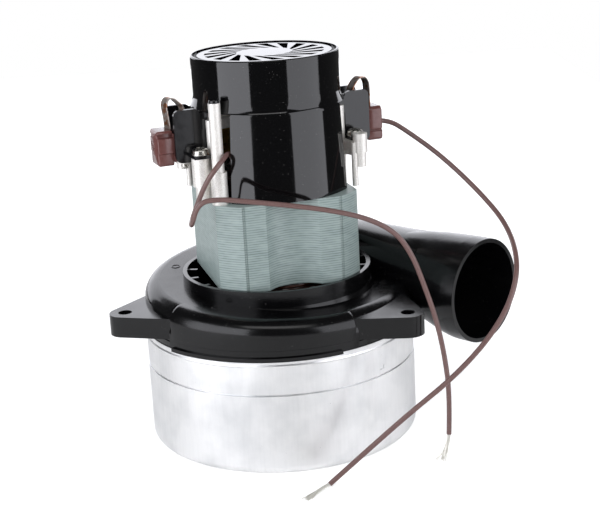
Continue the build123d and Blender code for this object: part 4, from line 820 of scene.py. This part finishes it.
across, up = bundle(*SLOT_SIZE, SLOT_POINTS, SLOT_WIRES)
z = np.array([[STACK_LOW - SLOT_OUT], [STACK_HIGH + SLOT_OUT]])
slots = []
for spin in turns(ARMATURE_SLOTS):
    x, y = spun(SLOT_RADIUS + across, up, spin)
    slots.append(np.stack(np.broadcast_arrays(x, y, z), axis=-1))
grid_piece("armature_slot_turns", slots, "coil_copper", body="rotor")

# %% [markdown]
# ## Bare wire ends
#
# Each lead ends in sixteen tinned strands. They leave the insulation as one
# twisted rope and part towards their tips, where they rest on the table. Each
# strand is a thin tube along its own path: the rope's line, plus a circle
# that opens as it goes, plus a lean towards one of a few tips.

# %% Strands
STRANDS = 16
STRAND_RADIUS = 0.22
STRAND_STEPS, STRAND_WINDOW, STRAND_SIDES = 60, 9, 8
OUTER_LAYER, INNER_LAYER = 0.8, 0.42
OPENING, TWIST, TWIST_EASE, FLATNESS = 0.9, 5.0, 0.4, 0.8
FLOOR_GAP = 0.02
RIGHT_ROPE = ((78.0, -47.2, 1.6), (77.8, -52.0, 1.3), (77.9, -56.0, 1.0), (78.6, -60.0, 0.9),
              (79.3, -65.0, 0.8))
RIGHT_TIPS = ((78.6, -67.2, 0.5), (80.2, -66.6, 0.6), (79.4, -67.0, 0.9))
LEFT_ROPE = ((105.2, 12.8, 15.4), (105.1, 12.0, 11.0), (104.9, 10.9, 6.5), (104.5, 9.4, 2.6),
             (104.2, 8.5, 0.7))
LEFT_TIPS = ((104.2, 7.6, 0.5), (101.6, 7.2, 0.5), (102.8, 8.6, 1.8), (105.0, 6.6, 0.6))


def strand_grids(corners, tips):
    """Strand k is the line plus a circle whose radius grows by 0.9*u^3 and a lean of u^3 to one tip.

    Here u goes from 0 to 1 along the rope, and the circle turns by 5*u*(1 - 0.4*u) radians. A strand
    stays off the table, and is up to 8 steps shorter than the rope.
    """
    line = rounded(corners, STRAND_STEPS, STRAND_WINDOW)
    along = np.linspace(0, 1, STRAND_STEPS)
    whole = line[-1] - line[0]
    side = np.cross(whole, Z_AXIS) / np.linalg.norm(np.cross(whole, Z_AXIS))
    rise = np.cross(side, whole) / np.linalg.norm(whole)
    ring = turns(STRAND_SIDES)
    grids = []
    for k, phase in enumerate(turns(STRANDS)):
        opened = (OUTER_LAYER if k % 2 else INNER_LAYER) * (1 + OPENING * along ** 3)
        twist = phase + TWIST * along * (1 - TWIST_EASE * along)
        lean = (along ** 3)[:, None] * (np.array(tips[k % len(tips)]) - line[-1])
        circle = np.cos(twist)[:, None] * side + FLATNESS * np.sin(twist)[:, None] * rise
        path = line + lean + opened[:, None] * circle
        path[:, 2] = np.maximum(path[:, 2], STRAND_RADIUS + FLOOR_GAP)
        path = path[:STRAND_STEPS - (k * 7) % 9]
        across, up = (np.tile(STRAND_RADIUS * wave(ring), (len(path), 1)) for wave in (np.cos, np.sin))
        grids.append(swept(path, across, up, side))
    return grids


right_strands = strand_grids(RIGHT_ROPE, RIGHT_TIPS)
left_strands = strand_grids(LEFT_ROPE, LEFT_TIPS)
bare_right = grid_piece("bare_end_right", right_strands, "tinned_wire", "lead_right_strands")
bare_left = grid_piece("bare_end_left", left_strands, "tinned_wire", "lead_left_strands")

# %% [markdown]
# ### Cords
#
# Each lead is drawn above as a cord of its real diameter along the lead's
# route. Here their names are printed.

# %% Cords
print("cords", cord_right.name, cord_left.name)

# %% [markdown]
# ## Housing details
#
# The front wall of the scroll is thicker than the rest and runs into the roof
# in one large rounding of 7.4 mm. A bevel on the housing would round each of
# its edges, so this is a band of its own. The roof climbs as it turns, and the
# band follows the roof's own formula: one section, with a height that changes
# with the azimuth.

# %% Scroll roof
SCROLL_START, SCROLL_SWEEP = 58.0, 328.0
ROOF_LOW, ROOF_RISE, ROOF_POWER = 78.5, 21.0, 1.8


def scroll_share(azimuth):
    """How far round the scroll an azimuth in degrees is, from 0 at its start to 1 at its end."""
    return (SCROLL_START - azimuth) % 360 / SCROLL_SWEEP


def roof_height(share):
    """The roof's z in millimetres: 78.5 + 21*share^1.8."""
    return ROOF_LOW + ROOF_RISE * share ** ROOF_POWER


print("roof from", roof_height(0.0), "to", roof_height(1.0), "mm")

# %% Front wall
BAND_FROM, BAND_TO, BAND_FADE = -94.5, -12.5, 1.2
BAND_STEPS, BEND_STEPS = 90, 14
WALL_RADIUS, WALL_PROUD = 72.0, 1.35
WALL_FOOT_Z, WALL_INSIDE, FOOT_BEVEL = 66.5, 70.6, 0.3
ROUNDING, ROUNDING_FOOT = 7.4, 10.0
ROOF_PROUD, CREST_RISE = 0.1, 0.15
UNDER_RADIUS, UNDER_RISE, UNDER_DROP = 62.5, 0.05, 1.5

azimuth = np.linspace(BAND_FROM, BAND_TO, BAND_STEPS)
roof = roof_height(scroll_share(azimuth)) + ROOF_PROUD
bend = np.radians(np.linspace(0, 90, BEND_STEPS))
edge = np.clip(np.minimum(azimuth - BAND_FROM, BAND_TO - azimuth) / BAND_FADE, 0, 1)
wall = WALL_RADIUS + WALL_PROUD * (edge * (2 - edge))
rounding_r = (wall[:, None] - ROUNDING) + ROUNDING * np.cos(bend)
rounding_z = (roof[:, None] + CREST_RISE - ROUNDING) + ROUNDING * np.sin(bend)
foot_z = np.full(BAND_STEPS, WALL_FOOT_Z)
inside_r, under_r = np.full(BAND_STEPS, WALL_INSIDE), np.full(BAND_STEPS, UNDER_RADIUS)
# The section goes up the outer face, over the rounding and back under the roof.
loop_r = np.column_stack([inside_r, wall - FOOT_BEVEL, wall, wall, rounding_r, under_r, under_r])
loop_z = np.column_stack([foot_z, foot_z, foot_z + FOOT_BEVEL, roof - ROUNDING_FOOT, rounding_z,
                          roof + UNDER_RISE, roof - UNDER_DROP])
turn = np.radians(azimuth)[:, None]
band = np.stack([loop_r * np.cos(turn), loop_r * np.sin(turn), loop_z], axis=-1)
grid_piece("front_wall", [band], "housing_plastic")

# %% [markdown]
# ### Root of the horn
#
# The horn leaves the scroll with a fuller root than the solid's. It is a
# shell of arches along X: each one is |y/a|^n + |z/b|^n = 1 over a foot, where
# n = 2 is an ellipse and a larger n is fuller at its shoulders. A row of the
# table gives x, the middle y, the half width, the foot z, the crest z and n.

# %% Horn root
ROOT = ((-12, 63.0, 8.0, 97.2, 98.6, 2.4), (0, 63.5, 10.0, 96.8, 99.4, 2.6),
        (12, 64.0, 12.5, 94.6, 99.2, 2.6), (25, 64.5, 15.0, 92.2, 98.7, 2.5),
        (40, 65.0, 18.5, 88.8, 99.0, 2.2), (57, 65.0, 21.5, 86.0, 99.9, 2.0))
ROOT_WALL = 1.4
ROOT_STEPS, ROOT_WINDOW, ARCH_STEPS = 80, 21, 48

x, middle, half, foot, crest, power = rounded(ROOT, ROOT_STEPS, ROOT_WINDOW).T[..., None]
bow = np.linspace(0, math.pi, ARCH_STEPS)
arch_y = np.sign(np.cos(bow)) * abs(np.cos(bow)) ** (2 / power)
arch_z = np.sin(bow) ** (2 / power)
outer_y, outer_z = middle + half * arch_y, foot + (crest - foot) * arch_z
inner_y = middle + (half - ROOT_WALL) * arch_y[:, ::-1]
inner_z = foot + (crest - foot - ROOT_WALL) * np.maximum(arch_z[:, ::-1], 0)
root_y, root_z = np.column_stack([outer_y, inner_y]), np.column_stack([outer_z, inner_z])
arches = np.stack(np.broadcast_arrays(x, root_y, root_z), axis=-1)
grid_piece("horn_root", [arches], "housing_plastic")

# %% [markdown]
# ### Ejector marks
#
# Three ejector pins left a raised ring each on the roof. A ring is a torus
# that leans with the roof, whose slope is the derivative of its height.

# %% Ejector rings
RING_RADIUS, RING_WIRE = 2.2, 0.3
RING_DISTANCE = 57.0
RING_AZIMUTHS = (38.0, -78.0, -149.0)
RING_STEPS, WIRE_STEPS = 48, 10


def ring_grid(azimuth, distance):
    """A torus at an azimuth and a distance from the axis, sheared by the slope of the scroll's roof."""
    share = scroll_share(azimuth)
    angle, small = np.meshgrid(turns(RING_STEPS), turns(WIRE_STEPS), indexing="ij")
    reach = RING_RADIUS + RING_WIRE * np.cos(small)
    x, y = distance + reach * np.cos(angle), reach * np.sin(angle)
    slope = -ROOF_RISE * ROOF_POWER * share ** (ROOF_POWER - 1) / math.radians(SCROLL_SWEEP) / distance
    z = roof_height(share) + slope * y + RING_WIRE * np.sin(small)
    return np.stack([*spun(x, y, math.radians(azimuth)), z], axis=-1)


rings = [ring_grid(azimuth, RING_DISTANCE) for azimuth in RING_AZIMUTHS]
grid_piece("ejector_rings", rings, "housing_plastic", looped=True)

# %% [markdown]
# ## Table
#
# The motor stands on a long white table, as wide as the picture needs and no
# wider, so that little of it shows in the glossy parts. It runs away from the
# camera. A weak glow of its own, which is stronger where the camera sees it
# straight, keeps it white in the picture without more light on the motor.

# %% Table
TABLE_BACK, TABLE_FRONT, TABLE_SIDE = -1.35, 0.6, 0.42
TABLE_ROWS, TABLE_COLUMNS = 40, 18
TABLE_GAP = 0.00002
GLOW_ON_MOTOR, GLOW_SEEN = 0.06, 0.45
CAMERA_SIDE = math.atan2(CAMERA_PLACE[1], CAMERA_PLACE[0])

along, aside = np.meshgrid(np.linspace(TABLE_BACK, TABLE_FRONT, TABLE_ROWS),
                           np.linspace(-TABLE_SIDE, TABLE_SIDE, TABLE_COLUMNS), indexing="ij")
table_z = np.full(along.shape, float(cad_low[2]) - TABLE_GAP)
table_points = np.stack([*spun(along, aside, CAMERA_SIDE), table_z], axis=-1).reshape(-1, 3)
corner = (np.arange(TABLE_ROWS - 1)[:, None] * TABLE_COLUMNS + np.arange(TABLE_COLUMNS - 1)).ravel()
table_faces = np.stack([corner, corner + TABLE_COLUMNS, corner + TABLE_COLUMNS + 1, corner + 1], axis=-1)
table_mesh = bpy.data.meshes.new("white_table")
table_mesh.from_pydata(table_points.tolist(), [], table_faces.tolist())
table = bpy.data.objects.new("white_table", table_mesh)
bpy.context.scene.collection.objects.link(table)

paper, tree, shader = new_material("white_paper", "#f2f2f1", 0.6)
shader.inputs["Specular IOR Level"].default_value = 0.2
shader.inputs["Emission Color"].default_value = linear("#ffffff")
seen = add(tree, "ShaderNodeLightPath")
glow = add(tree, "ShaderNodeMapRange", {"To Min": GLOW_ON_MOTOR, "To Max": GLOW_SEEN},
           Value=seen.outputs["Is Camera Ray"])
tree.links.new(glow.outputs["Result"], shader.inputs["Emission Strength"])
table.data.materials.append(paper)
print("table", len(table_faces), "faces")

# %% [markdown]
# ## Room and lamps
#
# The room is white to the camera, dim as light and darker still in
# reflections, so the ground of the picture is white and the black parts stay
# black. Two tall soft lamps in front, left and right, draw the wide grey bands
# on the glossy cover. A wide bright screen behind draws the white on every
# level face: the grille, the collar and the roof of the scroll. A smaller
# lamp in front and above lights the brush gear and the table.

# %% Room
ROOM_LIGHT, ROOM_IN_GLOSS = 0.3, 0.06

bpy.context.scene.view_settings.view_transform = "Standard"
world = bpy.data.worlds.new("studio")
bpy.context.scene.world = world
world.use_nodes = True
tree = world.node_tree
room = tree.nodes["Background"]
room.inputs["Color"].default_value = linear("#ffffff")
seen = add(tree, "ShaderNodeLightPath")
dim = add(tree, "ShaderNodeMapRange", {"To Min": ROOM_LIGHT, "To Max": ROOM_IN_GLOSS},
          Value=seen.outputs["Is Glossy Ray"])
level = add(tree, "ShaderNodeMath", {"operation": "MAXIMUM"}, n0=seen.outputs["Is Camera Ray"],
            n1=dim.outputs["Result"])
tree.links.new(level.outputs["Value"], room.inputs["Strength"])
print("room", ROOM_LIGHT, "as light,", ROOM_IN_GLOSS, "in reflections")

# %% Lamps
MOTOR_MIDDLE = Vector((0.0, 0.0, 0.15))
COOL_WHITE, PLAIN_WHITE = (0.93, 0.94, 1.0), (1.0, 1.0, 1.0)
NEARLY_UPRIGHT, FACING = 0.3, 1.0


def soft_lamp(name, turn, distance, height, size, radiance, colour, tilt):
    """A rectangle at a turn in degrees from the camera's side, whose power is radiance * pi * area.

    It faces the motor's middle, with the rise of its aim times the tilt: 1 faces it fully, 0 stands upright.
    """
    lamp = bpy.data.lights.new(name, "AREA")
    lamp.shape = "RECTANGLE"
    lamp.size, lamp.size_y = size
    lamp.energy = radiance * math.pi * size[0] * size[1]
    lamp.color = colour
    piece = bpy.data.objects.new(name, lamp)
    angle = CAMERA_SIDE + math.radians(turn)
    piece.location = (distance * math.cos(angle), distance * math.sin(angle), height)
    aim = piece.location - MOTOR_MIDDLE
    aim.z *= tilt
    piece.rotation_euler = aim.to_track_quat("Z", "Y").to_euler()
    bpy.context.scene.collection.objects.link(piece)
    print(name, round(lamp.energy, 2), "W")


soft_lamp("lamp_left", -51, 1.0, 0.25, (1.0, 1.2), 3.4, COOL_WHITE, NEARLY_UPRIGHT)
soft_lamp("lamp_right", 59, 1.0, 0.25, (1.0, 1.2), 2.5, COOL_WHITE, NEARLY_UPRIGHT)
soft_lamp("screen_behind", 180, 1.4, 0.55, (3.0, 1.1), 2.0, COOL_WHITE, NEARLY_UPRIGHT)
soft_lamp("lamp_above", 0, 0.65, 1.05, (0.9, 0.35), 2.2, PLAIN_WHITE, FACING)
